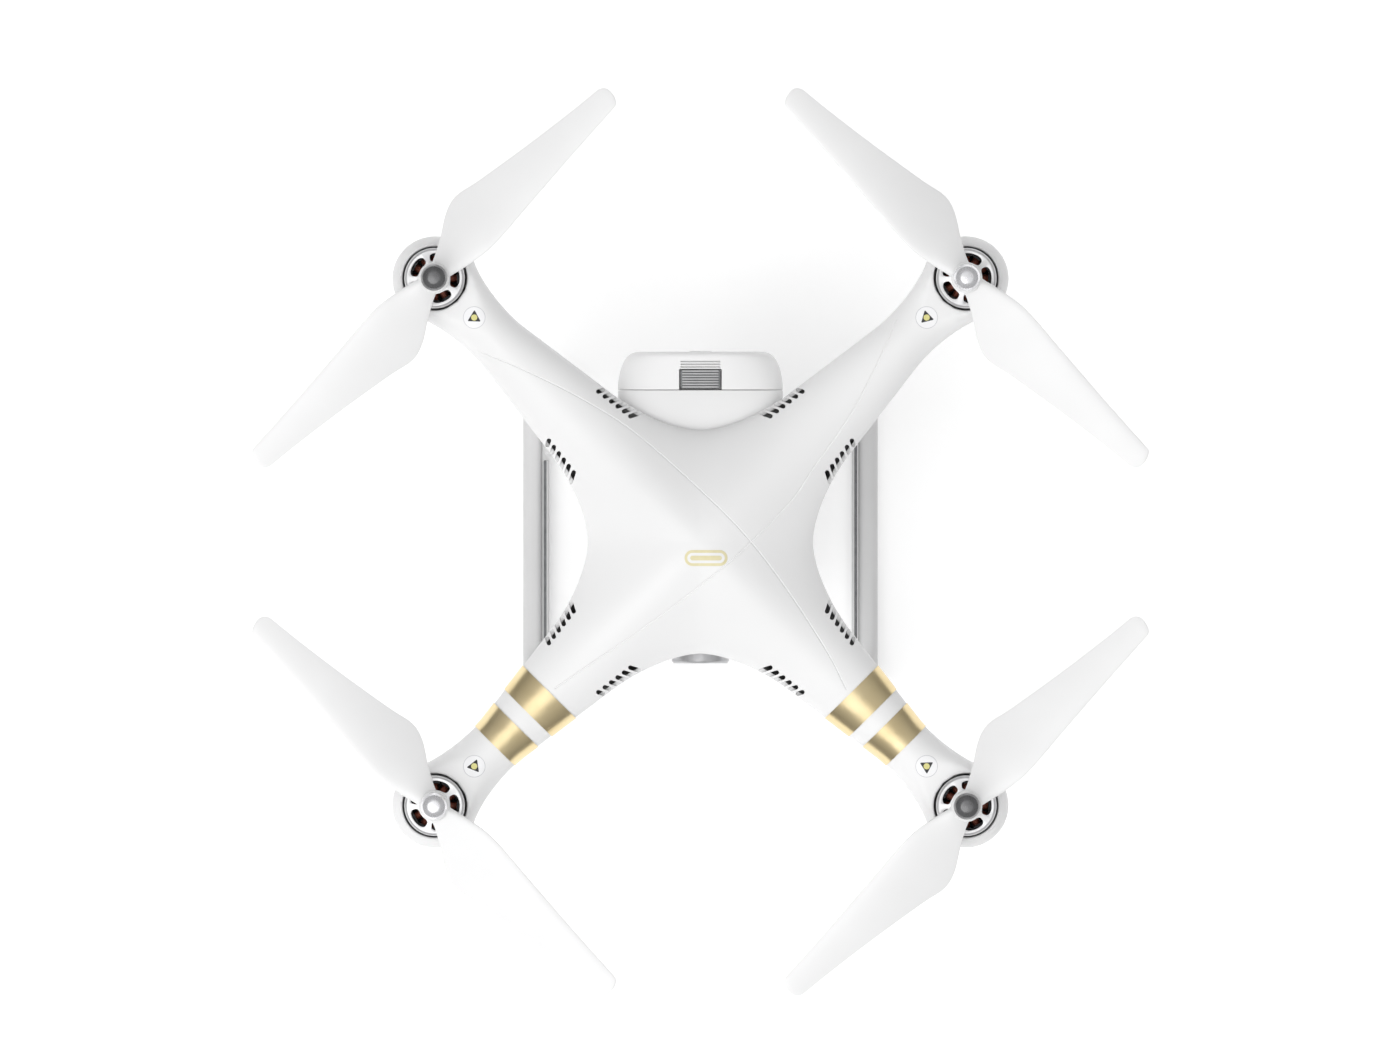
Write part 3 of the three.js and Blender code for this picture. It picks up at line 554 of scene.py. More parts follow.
def stage():
    scene = bpy.context.scene
    scene.view_settings.view_transform = "Standard"
    camera = bpy.data.objects.new("camera", bpy.data.cameras.new("camera"))
    camera.data.sensor_width = LENS / CAMERA_HEIGHT * FRAME_WIDTH
    camera.data.lens = LENS
    camera.data.clip_end = 100
    camera.location = (CAMERA_X, CAMERA_Y, middle("propeller_front_right").z * MM + CAMERA_HEIGHT)
    scene.collection.objects.link(camera)
    scene.camera = camera

    edges = (-FLOOR_HALF / MM, FLOOR_HALF / MM)
    floor = raw("floor", sheet([[(x, y, 0) for x in edges] for y in edges]))
    paper = Finish("floor", Roughness=0.9, Specular_IOR_Level=0.1, Emission_Color=(1, 1, 1, 1),
                   Emission_Strength=FLOOR_GLOW)
    floor.data.materials.append(paper.colour(0.91, 0.92, 3).material)

    world = bpy.data.worlds.new("studio")
    scene.world = world
    world.use_nodes = True
    nodes, links = world.node_tree.nodes, world.node_tree.links
    height_of = nodes.new("ShaderNodeSeparateXYZ")
    links.new(nodes.new("ShaderNodeTexCoord").outputs["Generated"], height_of.inputs[0])
    ramp = nodes.new("ShaderNodeValToRGB")
    ramp.color_ramp.elements[0].color = SKY_LOW
    ramp.color_ramp.elements[1].color = SKY_HIGH
    ramp.color_ramp.elements[1].position = SKY_FULL
    links.new(height_of.outputs["Z"], ramp.inputs[0])
    links.new(ramp.outputs["Color"], nodes["Background"].inputs["Color"])
    nodes["Background"].inputs["Strength"].default_value = 1.0

    for name, place, size, power, lights, shows in SOFTBOXES:
        light = bpy.data.objects.new(name, bpy.data.lights.new(name, "AREA"))
        light.data.shape = "RECTANGLE"
        light.data.size = light.data.size_y = size
        light.data.energy = power
        light.location = place
        light.rotation_euler = (-Vector(place)).to_track_quat("-Z", "Y").to_euler()
        light.visible_camera = False
        light.visible_diffuse = lights
        light.visible_glossy = shows
        scene.collection.objects.link(light)


stage()


# ---------------------------------------------------------------- the body's surface
def smooth_share(values, low, high):
    share = np.clip((values - low) / (high - low), 0, 1)
    return share * share * (3 - 2 * share)


def bezier(start, out, back, end, steps=60):
    t = np.linspace(0, 1, steps)[:, None]
    a, b, c, d = (np.array(p, float) for p in (start, out, back, end))
    return a * (1 - t) ** 3 + 3 * b * t * (1 - t) ** 2 + 3 * c * t**2 * (1 - t) + d * t**3


FLANK = ((WAIST, 0), (WAIST, 8), (57.3, 25), (70.7, 42.4))  # control points, in the first eighth
NECK = ((101.3, 82.5), (108, 91.2), (121.6, 102), (131.04, 105.41))
POD_START, POD_END = -70, 45  # degrees round the pod's middle


def eighth_outline():
    """Round waist, straight flank, neck, and half of the round pod of one eighth of the plan."""
    flank, neck = bezier(*FLANK), bezier(*NECK)
    turn = np.radians(np.linspace(POD_START, POD_END, 90))
    pod = MOTOR_X + POD_RADIUS * np.column_stack((np.cos(turn), np.sin(turn)))
    line = np.vstack((flank, neck, pod[1:]))
    travel = np.concatenate(([0], np.cumsum(np.linalg.norm(np.diff(line, axis=0), axis=1))))
    return line, travel


OUTLINE, TRAVEL = eighth_outline()
OUTLINE_LENGTH = TRAVEL[-1]


def edge_at(length, inset=0.0):
    """Points of the eighth's outline at these distances along it, moved inward."""
    def point(distance):
        return np.column_stack([np.interp(distance, TRAVEL, OUTLINE[:, axis]) for axis in (0, 1)])
    way = point(np.minimum(length + 0.4, OUTLINE_LENGTH)) - point(np.maximum(length - 0.4, 0))
    way /= np.linalg.norm(way, axis=1)[:, None]
    return point(length) + inset * np.column_stack((-way[:, 1], way[:, 0]))


SPINE_LEAD = 33  # a column ends this much farther out along the arm than it starts along the outline
SPINE_BEND, SPINE_GATHER = 160, 16  # beyond this the columns gather, round the pod
CROWN_COLUMNS = 75  # the columns of this first length fan out from the crown


def spine_distance(length):
    """How far out along the arm the line from this edge point reaches the arm's middle line."""
    square = length + SPINE_LEAD
    gathered = SPINE_BEND + SPINE_GATHER * np.tanh((square - SPINE_BEND) / SPINE_GATHER)
    return np.where(square > SPINE_BEND, gathered, square) * smooth_share(length, 0, CROWN_COLUMNS)


def belly_fullness(radius):
    return 1 / (1 + (radius / BELLY_REACH) ** 8)


SHOULDER = (140, 165)  # distances out between which the section becomes flat on top with round sides


def skin_height(across, radius, side, inset):
    """Height of the shell over the split, from its edge (across 0) to the arm's middle (1)."""
    if side > 0:
        rise, fullness = ARM_RISE + CROWN_RISE * np.exp(-((radius / CROWN_SPREAD) ** 2)), 0
    else:
        fullness = belly_fullness(radius)
        rise = np.minimum(BELLY_DROP, ARM_DROP + (BELLY_DROP - ARM_DROP + 1.5) * fullness)
    shoulder = 1 - 0.7 * smooth_share(radius, *SHOULDER)
    power = 2 + 3 * fullness  # an ellipse over the arms, and squarer under the belly
    swell = (1 - (1 - np.minimum(1, across / shoulder)) ** power) ** (1 / power)
    return SPLIT_Z + side * (SPLIT_GAP + (rise - inset - SPLIT_GAP) * swell)


MOTOR_REACH = MOTOR_X / DIAGONAL  # middle of the body to a motor, in the unstretched plan
WELL_START = MOTOR_REACH - (WELL_RADIUS + WELL_LIP) / math.sqrt((1 + STRETCH**2) / 2)


def column_lengths():
    """Distances along the outline of the shell's columns; one meets the near side of the well."""
    table = np.linspace(0, OUTLINE_LENGTH, 4000)
    turning = np.interp(WELL_START, spine_distance(table), table)
    flank = np.linspace(0, turning, FLANK_COLUMNS + 1)
    return np.concatenate((flank, np.linspace(turning, OUTLINE_LENGTH, POD_COLUMNS + 1)[1:]))


COLUMNS = column_lengths()


def eighth_skin(side, inset, rows, well=False, opening=WELL_RADIUS + WELL_LIP):
    """Rows of points over one eighth, from the edge to the arm's middle or to the motor's well."""
    start = edge_at(COLUMNS, inset)
    end = spine_distance(COLUMNS)[:, None] * DIAGONAL * np.ones(2)
    reach = np.ones(len(COLUMNS))
    if well:
        plan = np.array((1, STRETCH))
        away, from_motor = (end - edge_at(COLUMNS)) * plan, (edge_at(COLUMNS) - MOTOR_X) * plan
        a, b = (away**2).sum(axis=1), 2 * (away * from_motor).sum(axis=1)
        c = (from_motor**2).sum(axis=1) - (WELL_RADIUS + WELL_LIP) ** 2
        pod = slice(FLANK_COLUMNS, None)
        root = np.sqrt(np.maximum(0, b[pod] ** 2 - 4 * a[pod] * c[pod]))
        reach[pod] = np.minimum(1, (-b[pod] - root) / (2 * a[pod]))
        meeting = edge_at(COLUMNS) + (end - edge_at(COLUMNS)) * reach[:, None]
        shrink = opening / (WELL_RADIUS + WELL_LIP)
        end[pod] = MOTOR_X + (meeting[pod] - MOTOR_X) * shrink
    share = (1 - np.cos(np.linspace(0, math.pi / 2, rows + 1)))[:, None]
    plan_points = start[None] + (end - start)[None] * share[..., None]
    radius = np.hypot(plan_points[..., 0], plan_points[..., 1])
    height = skin_height(share * reach[None], radius, side, inset)
    return np.concatenate((plan_points, height[..., None]), axis=2)


def mirrored(points, eighth):
    """Points of the first eighth carried to another, 0 to 7 round the plan, and stretched."""
    x, y, z = points[..., 0], points[..., 1], points[..., 2]
    if eighth % 2:
        x, y = y, x
    for _ in range(eighth // 2):
        x, y = -y, x
    return np.stack((x, y * STRETCH, z), axis=-1)


def all_round(rows):
    """Rows over one eighth repeated over the whole plan."""
    parts = []
    for eighth in range(8):
        placed = mirrored(rows, eighth)
        parts.append(placed[:, ::-1][:, :-1] if eighth % 2 else placed[:, :-1])
    return np.concatenate(parts, axis=1)


def rim_rows(side):
    """The rounded edge where one shell meets the other."""
    rows = []
    for angle in np.radians((0, 30, 60, 90)):
        plan = edge_at(COLUMNS, EDGE * (1 - math.cos(angle)))
        level = SPLIT_Z + side * (SPLIT_GAP + EDGE * (1 - math.sin(angle)))
        rows.append(np.column_stack((plan, np.full(len(COLUMNS), level))))
    return np.array(rows)


def shell_form(side, well):
    skin = eighth_skin(side, 0, SKIN_ROWS, well)
    lining = eighth_skin(side, WALL, LINING_ROWS, well, WELL_RADIUS)
    rows = np.concatenate((skin[:0:-1], rim_rows(side), lining))
    form = sheet([[Vector(p) for p in row] for row in all_round(rows)], wrap=True)
    if not well:
        return form
    pod = slice(FLANK_COLUMNS, None)
    lip = skin[-1, pod]
    rows = [lip]
    for angle in np.radians((22.5, 45, 67.5, 90)):
        shrink = (WELL_RADIUS + WELL_LIP * (1 - math.sin(angle))) / (WELL_RADIUS + WELL_LIP)
        ring = MOTOR_X + (lip[:, :2] - MOTOR_X) * shrink
        rows.append(np.column_stack((ring, lip[:, 2] - WELL_LIP * (1 - math.cos(angle)))))
    rows.append(lining[-1, pod])
    for eighth in range(8):
        form.join(sheet([[Vector(p) for p in row] for row in mirrored(np.array(rows), eighth)]))
    return form


def surface_of(made):
    """A search tree of a piece's surface, in millimetres."""
    return BVHTree.FromPolygons([v.co / MM for v in made.data.vertices],
                                [tuple(f.vertices) for f in made.data.polygons])


def drop(tree, x, y, upward=False):
    """Where a vertical line first meets the surface, and the surface's direction there."""
    start = Vector((x, y, -50 if upward else 300))
    place, normal, *_ = tree.ray_cast(start, Vector((0, 0, 1 if upward else -1)))
    return place, normal


def spline(points, steps=24):
    """A smooth line through points."""
    line = [Vector(p) for p in points]
    line = [2 * line[0] - line[1]] + line + [2 * line[-1] - line[-2]]
    made = []
    for a, b, c, d in zip(line, line[1:], line[2:], line[3:]):
        for k in range(steps):
            t = k / steps
            made.append(0.5 * (2 * b + (c - a) * t + (2 * a - 5 * b + 4 * c - d) * t * t
                               + (3 * b - a - 3 * c + d) * t**3))
    return made + [line[-2]]


# ---------------------------------------------------------------- top shell
VENTS = 6  # slots in one group; there are eight groups
VENT_WIDTH = 2.1
VENT_SHORTEST, VENT_LONGEST = 4.2, 6.8  # seen from above
VENT_FLOOR = SPLIT_Z + 1.1
VENT_OUTER, VENT_INNER = np.array((71.2, 46.7, 0)), np.array((60, 30.5, 0))  # the group's end slots
VENT_WAY = np.array((-0.32, 0.95, 0))  # the way they point in the first eighth
OVER_SHELL = 160  # a height above all of the top shell


def vent_slots():
    """Slots beside the waist, longer towards it, cut down through the shoulder of the skin."""
    slots = []
    for eighth in range(8):
        for k in range(VENTS):
            share = k / (VENTS - 1)
            spot = VENT_OUTER + (VENT_INNER - VENT_OUTER) * share
            start, end = [Vector(mirrored(p, eighth)) for p in (spot, spot + VENT_WAY)]
            length = VENT_SHORTEST + (VENT_LONGEST - VENT_SHORTEST) * share
            outline = rectangle(length, VENT_WIDTH, VENT_WIDTH * ROUND_END, 6)
            turn = facing((start.x, start.y, 0), end - start, (0, 0, 1))
            slots.append(slab(outline, VENT_FLOOR, OVER_SHELL, 0.1, 1).moved(turn))
    return joined(slots)


SEAM_LINES = (
    ((-104, 89.5), (-79.1, 78.8), (-54.3, 66.2), (-29.2, 49.9), (4.9, 19.6), (23.6, 0), (41.8, -24.3),
     (59.5, -51.8), (68.3, -69.0)),
    ((91.7, 104), (82.3, 82.6), (69.7, 58.8), (53.4, 35.5), (42.7, 19.6), (23.6, 0), (9.1, -13.1),
     (-20.8, -35.9), (-52, -57.5), (-68, -68.5)),
)


SEAM_RADIUS, SEAM_LIFT = 0.5, 0.14  # the groove is a round cut, its middle lifted off the skin


def seam_grooves(tree):
    """Two shallow lines that cross on the right of the crown and run out along the arms."""
    grooves = []
    for line in SEAM_LINES:
        path = []
        for point in spline([(x, y, 0) for x, y in line], 18):
            place, normal = drop(tree, point.x, point.y)
            path.append(place + normal * SEAM_LIFT)
        grooves.append(sweep(path, circle(SEAM_RADIUS, 8)))
    return grooves


top = raw("top_cover", shell_form(1, True))
TOP_SURFACE = surface_of(top)
carve(top, vent_slots())
for groove in seam_grooves(TOP_SURFACE):
    carve(top, groove)
piece(top, "top_shell", "shell_white", smooth=40)


# ---------------------------------------------------------------- marks on the top shell
def decal(tree, outline, x, y, lift, thickness=0.3, degrees=0, rings=5):
    """A thin flat shape laid on the skin round (x, y)."""
    spin = Matrix.Rotation(math.radians(degrees), 2)
    outline = even(outline, 0.9)
    levels = []
    for ring in range(rings + 1):
        level = []
        for point in outline:
            flat = spin @ Vector(point) * (1 - ring / rings)
            place, normal = drop(tree, x + flat.x, y + flat.y)
            level.append((place + normal * lift, normal))
        levels.append(level)
    upper = [[place for place, _ in level] for level in levels]
    lower = [[place - normal * thickness for place, normal in level] for level in reversed(levels)]
    return sheet(lower + upper, wrap=True)


MARK_DISTANCE = 149.5 * DIAGONAL  # out along each arm, sideways
MARK_TURNS = {"front_right": 182, "front_left": 98, "rear_right": 14, "rear_left": -2}
DISC_RADIUS, TRIANGLE_RADIUS, DOT_RADIUS = 5.2, 3.6, 1.45
TRIANGLE = rounded([(TRIANGLE_RADIUS * math.cos(a), TRIANGLE_RADIUS * math.sin(a), 0.3)
                    for a in np.radians((90, 210, 330))], steps=3)
for name, (sx, sy) in QUADRANTS.items():
    x, y = sx * MARK_DISTANCE, sy * MARK_DISTANCE * STRETCH
    for part, outline, lift, slot in (
        ("arm_disc_edge", circle(DISC_RADIUS, 48), 0.1, "sticker_line"),
        ("arm_disc", circle(DISC_RADIUS - 0.25, 48), 0.14, "sticker_white"),
        ("arm_mark", TRIANGLE, 0.18, "black_plastic"),
        ("arm_mark_centre", circle(DOT_RADIUS, 20), 0.22, "mark_yellow"),
    ):
        form = decal(TOP_SURFACE, outline, x, y, lift, 0.3, MARK_TURNS[name])
        detail(f"{part}_{name}", form, "top_shell", slot)

BADGE = (2.6, -7.5)  # its middle on the crown
for part, width, depth, lift, slot in (("rim", 20, 7.4, 0.12, "badge_print"),
                                       ("gap", 17.4, 4.8, 0.15, "shell_white"),
                                       ("bar", 14.8, 2.2, 0.19, "badge_print")):
    outline = rectangle(width, depth, depth * ROUND_END, 8)
    detail(f"crown_badge_{part}", decal(TOP_SURFACE, outline, *BADGE, lift), "top_shell", slot)


# ---------------------------------------------------------------- gold bands on the front arms
BANDS = {"inner": (100, 114), "outer": (122, 136)}  # distance out along the arm
BAND_LIFT = 0.34
BAND_THICKNESS = 0.14


def band_form(near, far, quarter):
    """A strip of the skin, cut square across the arm and lifted off the shell."""
    work = bmesh.new()
    half = eighth_skin(1, -BAND_LIFT, 40)
    for rows in (half, half[..., [1, 0, 2]]):
        part = sheet([[Vector(p) for p in row] for row in rows])
        corners = [work.verts.new(p) for p in part.points]
        for face in part.faces:
            if len({tuple(part.points[i]) for i in face}) > 3:
                work.faces.new([corners[i] for i in face])
    bmesh.ops.remove_doubles(work, verts=work.verts, dist=1e-3)
    out = Vector((1, 1, 0)).normalized()
    for distance, facing_in in ((near, -1), (far, 1)):
        everything = work.verts[:] + work.edges[:] + work.faces[:]
        bmesh.ops.bisect_plane(work, geom=everything, plane_co=out * distance, plane_no=out * facing_in,
                               clear_outer=True)
    work.verts.index_update()
    points = np.array([tuple(v.co) for v in work.verts])
    form = Form(mirrored(points, 2 * quarter), [[v.index for v in f.verts] for f in work.faces])
    work.free()
    return form


for name, quarter in (("front_left", 2), ("front_right", 3)):
    for place, (near, far) in BANDS.items():
        band = raw(f"gold_band_{place}_{name}", band_form(near, far, quarter))
        thicken = band.modifiers.new("thicken", "SOLIDIFY")
        thicken.thickness = BAND_THICKNESS * MM
        thicken.offset = 0
        applied(band)
        piece(band, f"trim_band_{place}_{name}", "gold_foil", smooth=50)


# ---------------------------------------------------------------- bottom shell
COLLAR_LOW, COLLAR_HIGH = span("battery_cap")[0].z, span("battery_cap")[1].z
COLLAR_WIDTH = span("battery_cap")[1].x - span("battery_cap")[0].x
COLLAR_HEIGHT = COLLAR_HIGH - COLLAR_LOW
COLLAR_Z = (COLLAR_HIGH + COLLAR_LOW) / 2
SEAM_Y = 71.0
BAY_WIDTH, BAY_LOW, BAY_HIGH, BAY_FRONT, BAY_CORNER = 72.4, 106.4, 142.9, -41, 16
BUTTON_PLACE = middle("link_button")
LEG_TOP = Vector((72, 66.5, span("landing_gear_left")[1].z))
BOSS_RADIUS = 10
BOSS_HIGH = 138  # inside the arm
COLLAR_FRONT = 28  # inside the belly
KEY_HOLE_RADIUS = 2.7


def lengthways(outline, front, rear, x, z, edge=0.6, steps=3):
    """An upright outline carried along Y."""
    return slab(outline, -rear, -front, edge, steps).moved(Matrix.Translation((x, 0, z)) @ UPRIGHT)


def bottom_form():
    made = raw("bottom_cover", shell_form(-1, False))
    outline = soft_rectangle(COLLAR_WIDTH, COLLAR_HEIGHT)
    collar = lengthways(outline, COLLAR_FRONT, SEAM_Y, 0, COLLAR_Z, 0.35, 2)
    carve(made, collar, "UNION")
    bosses = []
    for sx, sy in QUADRANTS.values():
        boss = drum(BOSS_RADIUS, LEG_TOP.z + 0.3, BOSS_HIGH, 0.8)
        bosses.append(boss.at(sx * LEG_TOP.x, sy * LEG_TOP.y, 0))
    carve(made, joined(bosses), "UNION")
    bay = rectangle(BAY_WIDTH, BAY_HIGH - BAY_LOW, BAY_CORNER, 8)
    carve(made, lengthways(bay, BAY_FRONT, SEAM_Y + 2, 0, (BAY_HIGH + BAY_LOW) / 2, 0.1, 1))
    carve(made, drum(KEY_HOLE_RADIUS, 98, 108).at(BUTTON_PLACE.x, BUTTON_PLACE.y, 0))
    return made


bottom = bottom_form()
BOTTOM_SURFACE = surface_of(bottom)
piece(bottom, "bottom_shell", "shell_white", smooth=40)


def screw_form(radius=1.7, head=1.1):
    """A small pan-head screw with a cross recess, its head's top at z 0."""
    corners = [(0, -head), (radius, -head, 0.1), (radius, -0.25, 0.4), (radius * 0.55, 0), (0, 0)]
    made = raw("screw", turnery(corners, 24, 3))
    for degrees in (0, 90):
        carve(made, box(radius * 1.15, radius * 0.3, 0.9, 0.05, 0.05).turned(degrees, "Z"))
    form = Form([v.co / MM for v in made.data.vertices], [f.vertices for f in made.data.polygons])
    bpy.data.objects.remove(made)
    return form


SCREW = screw_form()


ARM_SCREWS = ((118, 9), (118, -9), (141, 10), (141, -10))  # out along the arm, and to its side
LIGHT_RADIUS = 9


def arm_screws(sx, sy):
    """The screws that hold the shells together, set into the underside of one arm."""
    forms = []
    for out, side in ARM_SCREWS:
        x, y = (out + side) * DIAGONAL * sx, (out - side) * DIAGONAL * sy
        place, normal = drop(BOTTOM_SURFACE, x, y, upward=True)
        forms.append(SCREW.moved(facing(place + normal * 0.25, (1, 0, 0), normal)))
    return joined(forms)


for name, (sx, sy) in QUADRANTS.items():
    detail(f"arm_screws_{name}", arm_screws(sx, sy), "bottom_shell", "screw_steel")
    low, high = span(f"led_lens_{name}")
    lens = turnery([(0, low.z), (LIGHT_RADIUS - 2.6, low.z, 2.5), (LIGHT_RADIUS, low.z + 1.5, 0.8),
                    (LIGHT_RADIUS, high.z, 0.2), (0, high.z)], 64)
    piece((f"arm_light_{name}", lens.at(sx * MOTOR_X, sy * MOTOR_Y, 0)), f"led_lens_{name}", "light_lens")


# ---------------------------------------------------------------- motors
BELL_RADIUS = 14.05
BELL_LOW, BELL_HIGH = 143, 164
BELL_WINDOWS = 5
SHAFT_RADIUS = 2.5
SEAT_RADIUS = 6.6
HUB_RADIUS = 7.2
HUB_LOW, HUB_HIGH = 169.5, 178.5
SHAFT_LOW, SHAFT_HIGH = span("rotor_bell_front_right")[0].z, span("rotor_bell_front_right")[1].z
WINDOW_PHASE = 0.045
WINDOW_MIDDLE, WINDOW_REACH = 9.6, 2.2  # its middle circle, and how far it goes in and out from it
WINDOW_TURN = 0.5  # half its angle
WINDOW_POWER = 0.62  # 1 is an ellipse, 0 a rectangle
BELL_WALL = 1.2
TEETH = 12
TOOTH_LOW, TOOTH_HIGH, TOOTH_TIP = 146, 157, 11.6
COIL_LAYERS = 7
COIL_START, COIL_PITCH = 6.75, 0.54
WIRE_RADIUS = 0.29
MAGNETS = 14
MAGNET_RADIUS = 12.45


def window(phase):
    """A rounded, slightly bent opening in the bell's top."""
    outline = []
    for angle in np.linspace(0, 2 * math.pi, 40, endpoint=False):
        out = math.copysign(abs(math.cos(angle)) ** WINDOW_POWER, math.cos(angle))
        side = math.copysign(abs(math.sin(angle)) ** WINDOW_POWER, math.sin(angle))
        r = WINDOW_MIDDLE + WINDOW_REACH * out
        turn = phase + WINDOW_TURN * side * (1 - 0.07 * out)
        outline.append((r * math.cos(turn), r * math.sin(turn)))
    return slab(outline, BELL_HIGH - 4, BELL_HIGH + 1, 0.05, 1)


def bell():
    """The magnet bell with its seat and shaft, and windows in its top."""
    inner = BELL_RADIUS - BELL_WALL
    made = raw("bell", turnery([
        (0, SHAFT_LOW), (SHAFT_RADIUS, SHAFT_LOW, 0.3), (SHAFT_RADIUS, BELL_HIGH - 3, 0.2),
        (inner, BELL_HIGH - 3, 0.6), (inner, BELL_LOW, 0.2), (BELL_RADIUS, BELL_LOW, 0.3),
        *groove_corners(BELL_RADIUS, BELL_HIGH - 4.4, BELL_HIGH - 3.6, 0.25, 0.2),
        (BELL_RADIUS, BELL_HIGH - 0.9, 0.7), (BELL_RADIUS - 1.1, BELL_HIGH, 0.5),
        (SEAT_RADIUS, BELL_HIGH, 0.5), (SEAT_RADIUS, HUB_LOW - 0.3, 0.5), (SHAFT_RADIUS, HUB_LOW - 0.3, 0.3),
        (SHAFT_RADIUS, SHAFT_HIGH, 0.4), (0, SHAFT_HIGH)], 112, 4))
    phases = [k * 2 * math.pi / BELL_WINDOWS + WINDOW_PHASE for k in range(BELL_WINDOWS)]
    carve(made, joined([window(phase) for phase in phases]))
    return soften(made, 0.16, 2, 60)


def core():
    """The laminated core with its teeth, its bearing tube and the motor's base."""
    bore = SHAFT_RADIUS + 0.4
    forms = [turnery([(bore, 137), (11, 137, 0.5), (11, 140, 0.5), (6, 140, 0.4), (6, TOOTH_HIGH, 0.3),
                      (bore, TOOTH_HIGH), (bore, 137)])]
    for tooth in range(TEETH):
        turn = tooth * 360 / TEETH
        stem = box(5, 1.9, 10, 0.2, 0.1).at(8, 0, (TOOTH_LOW + TOOTH_HIGH) / 2)
        tip = [(r * math.cos(a), r * math.sin(a)) for r, half in ((TOOTH_TIP, 0.23), (TOOTH_TIP - 1.1, -0.2))
               for a in np.linspace(-half, half, 9)]
        forms += [stem.turned(turn, "Z"), slab(tip, TOOTH_LOW, TOOTH_HIGH, 0.15, 2).turned(turn, "Z")]
    return joined(forms)


def windings():
    """Turns of enamelled wire round each tooth."""
    loops = []
    for layer in range(COIL_LAYERS):
        swell = 0.5 * math.sin(math.pi * (layer + 0.5) / COIL_LAYERS)
        x, middle_z = COIL_START + layer * COIL_PITCH, (TOOTH_LOW + TOOTH_HIGH) / 2
        loop = [(x, y, z + middle_z) for y, z in rectangle(2.9 + swell, 11.4 + swell, 0.9, 3)]
        loops.append(sweep(loop, circle(WIRE_RADIUS, 6), closed=True))
    return joined([loop.turned(tooth * 360 / TEETH, "Z") for tooth in range(TEETH) for loop in loops])


def magnets():
    """Bars round the inside of the bell."""
    bar = box(0.7, 2.3, 11, 0.2, 0.1).at(MAGNET_RADIUS, 0, 151)
    return joined([bar.turned(k * 360 / MAGNETS, "Z") for k in range(MAGNETS)])


# ---------------------------------------------------------------- propellers
PROP_RADIUS = 119.7
BLADE_ROOT = 3  # inside the hub
BLADE_ANGLE = 47
TIP_LENGTH = 4  # rounding of the tip
TIP_THICKNESS, ROOT_THICKNESS = 0.8, 3.1
# (distance out, width behind or ahead of the middle line) and (distance out, slope across the blade)
TRAILING = ((4, 5), (15, 10.4), (26, 16.8), (35, 18.8), (48, 15.8), (75, 10.5), (100, 6.3), (116, 4.1),
            (120, 3.6))
LEADING = ((4, 4.5), (15, 7.6), (30, 10), (55, 9.2), (85, 8.1), (116, 7.4), (120, 7.2))
STEEPNESS = ((3, 0.2), (20, 0.34), (35, 0.37), (60, 0.26), (90, 0.19), (120, 0.14))
STATIONS = 72
SECTION_POINTS = 36


def reading(points):
    """A function that reads a smooth line through (distance, value) points."""
    line = spline([(x, y, 0) for x, y in points], 30)
    xs, ys = [p.x for p in line], [p.y for p in line]
    return lambda distance: float(np.interp(distance, xs, ys))


def blade():
    """One blade along +X: a twisted aerofoil that thickens into the hub and ends in a round tip."""
    back_at, front_at, steepness_at = reading(TRAILING), reading(LEADING), reading(STEEPNESS)
    rows = []
    for station in range(STATIONS + 1):
        share = station / STATIONS
        distance = BLADE_ROOT + (PROP_RADIUS - BLADE_ROOT) * math.sin(share * math.pi / 2) ** 0.85
        to_tip = min(1, (PROP_RADIUS - distance) / TIP_LENGTH)
        tip = math.sqrt(max(0.004, 1 - (1 - to_tip) ** 2))
        back, front = back_at(distance) * tip, front_at(distance) * tip
        half, shift = (back + front) / 2, (back - front) / 2
        inward = 1 - distance / PROP_RADIUS
        thick = (TIP_THICKNESS + (ROOT_THICKNESS - TIP_THICKNESS) * inward) * (0.4 + 0.6 * tip)
        thick += 4.6 * math.exp(-((distance - BLADE_ROOT) / 7.5) ** 2)  # into the hub
        row = []
        for k in range(SECTION_POINTS):
            angle = 2 * math.pi * k / SECTION_POINTS
            across = shift + half * math.cos(angle)
            taper = 0.95 - 0.55 * math.cos(angle)
            camber = 0.06 * half * math.sin(angle) ** 2
            height = thick / 2 * math.sin(angle) * taper + camber - across * steepness_at(distance)
            row.append((distance, across, height))
        rows.append(row)
    return sheet(rows, wrap=True, caps=True)


def propeller(name, turns):
    """Two blades and a hub; turns is 1 for one that spins anticlockwise seen from above."""
    half = (HUB_HIGH - HUB_LOW) / 2
    hub = drum(HUB_RADIUS, -half, half, 1.0, 72)
    made = raw(name, hub)
    one = blade()
    carve(made, one, "UNION")
    carve(made, one.turned(180, "Z"), "UNION")
    carve(made, drum(SHAFT_RADIUS + 0.1, -half - 1, half + 1))
    if turns > 0:
        made.data.transform(Matrix.Scale(-1, 4, (0, 1, 0)))
        made.data.flip_normals()
    return made


NUT_RADIUS = 6.15


def nut():
    """The round nose nut that clamps a propeller."""
    low, high = span("prop_nut_front_right")
    foot = HUB_HIGH + 0.3
    return turnery([(0, low.z), (SHAFT_RADIUS - 0.3, low.z), (SHAFT_RADIUS - 0.3, foot),
                    (NUT_RADIUS, foot, 0.3), *groove_corners(NUT_RADIUS, foot + 1.3, foot + 2, 0.2, 0.2),
                    (NUT_RADIUS, foot + 3.1, 1.2), (5.3, high.z - 1.6, 2.2), (3, high.z - 0.25, 2.5),
                    (0, high.z)], 72, 6)


